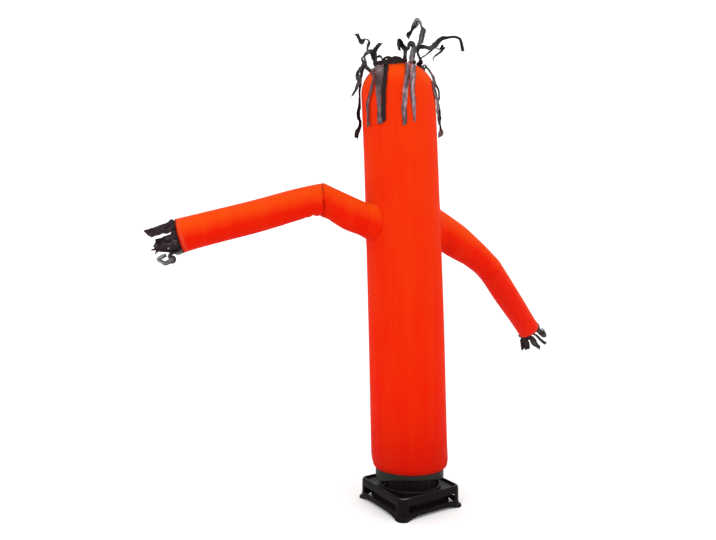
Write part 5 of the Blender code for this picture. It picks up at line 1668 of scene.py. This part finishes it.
def build_stage():
    """A wide pale floor, an even pale surround, a large soft key light, a soft fill and the camera."""
    look = bpy.context.scene.dancer_stage
    corners = np.array([(-1.0, -1.0, 0.0), (1.0, -1.0, 0.0), (1.0, 1.0, 0.0), (-1.0, 1.0, 0.0)])
    floor = plain_mesh("pale_floor", FLOOR_HALF * corners, [[0, 1, 2, 3]])
    material, tree, shader = blank_material("pale_floor_paint")
    position = node(tree, "ShaderNodeTexCoord").outputs["Object"]
    paint = mixed(tree, mottled(tree, position, 3.0, 3.0, 0.0, 0.01), (*look.floor_colour, 1.0),
                  (0.8, 0.8, 0.8, 1.0))
    feed(tree, shader, {"Base Color": paint, "Roughness": 0.9, "Specular IOR Level": 0.1})
    floor.data.materials.append(material)

    world = bpy.data.worlds.new("even_surround")
    world.use_nodes = True
    surround = world.node_tree.nodes["Background"]
    surround.inputs["Color"].default_value = (1.0, 1.0, 1.0, 1.0)
    surround.inputs["Strength"].default_value = look.ambient
    bpy.context.scene.world = world

    def softbox(name, place, aim, width, power):
        lamp = bpy.data.lights.new(name, "AREA")
        lamp.shape = "SQUARE"
        lamp.size = width
        lamp.energy = power
        made = bpy.data.objects.new(name, lamp)
        made.location = place
        made.rotation_euler = (Vector(aim) - Vector(place)).to_track_quat("-Z", "Y").to_euler()
        bpy.context.scene.collection.objects.link(made)

    softbox("key_softbox", (1.2, -3.4, 3.4), (0.0, 0.0, 1.0), 2.4, look.key_power)
    softbox("fill_softbox", (-3.6, -0.6, 2.2), (0.0, 0.0, 1.0), 2.0, look.key_power * 0.85)

    right = np.array([math.cos(look.camera_turn), math.sin(look.camera_turn), 0.0])
    ahead = np.array([-right[1], right[0], 0.0])
    place = -CAMERA_ASIDE * right - look.camera_distance * ahead
    lens = bpy.data.cameras.new("level_camera")
    lens.lens = 28.0
    lens.sensor_width = 36.0
    lens.shift_y = 2.0 / PICTURE_WIDTH
    camera = bpy.data.objects.new("level_camera", lens)
    camera.location = (float(place[0]), float(place[1]), look.camera_height)
    camera.rotation_euler = (math.pi / 2.0, 0.0, look.camera_turn)
    bpy.context.scene.collection.objects.link(camera)
    bpy.context.scene.camera = camera
    bpy.context.scene.view_settings.view_transform = "Standard"


# ---- operators ----
class DancerOperator:
    """What the dancer's operators share."""

    bl_options = {"REGISTER", "UNDO"}


class DANCER_OT_tube(DancerOperator, bpy.types.Operator):
    """Build the tall tube of inflated nylon"""

    bl_idname = "dancer.tube"
    bl_label = "Tube"

    def execute(self, context):
        build_tube(nylon_material())
        return {"FINISHED"}


class DANCER_OT_sleeves(DancerOperator, bpy.types.Operator):
    """Build the upper and lower sleeves of both arms"""

    bl_idname = "dancer.sleeves"
    bl_label = "Sleeves"

    def execute(self, context):
        build_arm("left", LEFT_UPPER, LEFT_FORE, LEFT_CUT, nylon_material())
        build_arm("right", RIGHT_UPPER, RIGHT_FORE, RIGHT_CUT, nylon_material())
        return {"FINISHED"}


class DANCER_OT_fringes(DancerOperator, bpy.types.Operator):
    """Build the comb of strips on each open cuff"""

    bl_idname = "dancer.fringes"
    bl_label = "Cuff fringes"

    def execute(self, context):
        build_fringe("left", LEFT_FORE, LEFT_FRINGE, LEFT_CUT, ribbon_material())
        build_fringe("right", RIGHT_FORE, RIGHT_FRINGE, RIGHT_CUT, ribbon_material())
        return {"FINISHED"}


class DANCER_OT_hanging_ribbons(DancerOperator, bpy.types.Operator):
    """Build the ribbons that hang from the crown"""

    bl_idname = "dancer.hanging_ribbons"
    bl_label = "Hanging ribbons"

    def execute(self, context):
        build_hanging(ribbon_material())
        return {"FINISHED"}


class DANCER_OT_lifted_ribbons(DancerOperator, bpy.types.Operator):
    """Build the ribbons that the air lifts"""

    bl_idname = "dancer.lifted_ribbons"
    bl_label = "Lifted ribbons"

    def execute(self, context):
        build_lifted(ribbon_material())
        return {"FINISHED"}


class DANCER_OT_stand(DancerOperator, bpy.types.Operator):
    """Build the blower stand with its outlet drum, bead and screws"""

    bl_idname = "dancer.stand"
    bl_label = "Blower stand"

    def execute(self, context):
        moulding = plastic_material("black_moulded_plastic", 0.26, 0.40, 0.25)
        build_stand(moulding)
        build_collar(plastic_material("black_drum_plastic", 0.34, 0.50, 0.35))
        build_deck_ring(moulding)
        build_knobs(plastic_material("dark_screw_plastic", 0.16, 0.28, 0.1))
        return {"FINISHED"}


class DANCER_OT_stage(DancerOperator, bpy.types.Operator):
    """Set up the pale floor, the soft light and the camera"""

    bl_idname = "dancer.stage"
    bl_label = "Stage"

    def execute(self, context):
        build_stage()
        return {"FINISHED"}


OPERATORS = (DANCER_OT_tube, DANCER_OT_sleeves, DANCER_OT_fringes, DANCER_OT_hanging_ribbons,
             DANCER_OT_lifted_ribbons, DANCER_OT_stand, DANCER_OT_stage)
SETTINGS = (("dancer_cloth", DancerCloth), ("dancer_trim", DancerTrim), ("dancer_stand", DancerStand),
            ("dancer_stage", DancerStage))


class DANCER_PT_panel(bpy.types.Panel):
    """The dancer's pieces and their settings"""

    bl_label = "Air dancer"
    bl_idname = "DANCER_PT_panel"
    bl_space_type = "VIEW_3D"
    bl_region_type = "UI"
    bl_category = "Air dancer"

    def draw(self, context):
        for operator in OPERATORS:
            self.layout.operator(operator.bl_idname)
        for label, kind in SETTINGS:
            box = self.layout.box()
            for key in kind.__annotations__:
                box.prop(getattr(context.scene, label), key)


def register():
    for label, kind in SETTINGS:
        bpy.utils.register_class(kind)
        setattr(bpy.types.Scene, label, bpy.props.PointerProperty(type=kind))
    for kind in OPERATORS + (DANCER_PT_panel,):
        bpy.utils.register_class(kind)


def unregister():
    for kind in (DANCER_PT_panel,) + OPERATORS[::-1]:
        bpy.utils.unregister_class(kind)
    for label, kind in SETTINGS[::-1]:
        delattr(bpy.types.Scene, label)
        bpy.utils.unregister_class(kind)


def main():
    register()
    bpy.ops.dancer.stage()
    bpy.ops.dancer.tube()
    bpy.ops.dancer.sleeves()
    bpy.ops.dancer.fringes()
    bpy.ops.dancer.hanging_ribbons()
    bpy.ops.dancer.lifted_ribbons()
    bpy.ops.dancer.stand()


if __name__ == "__main__":
    main()
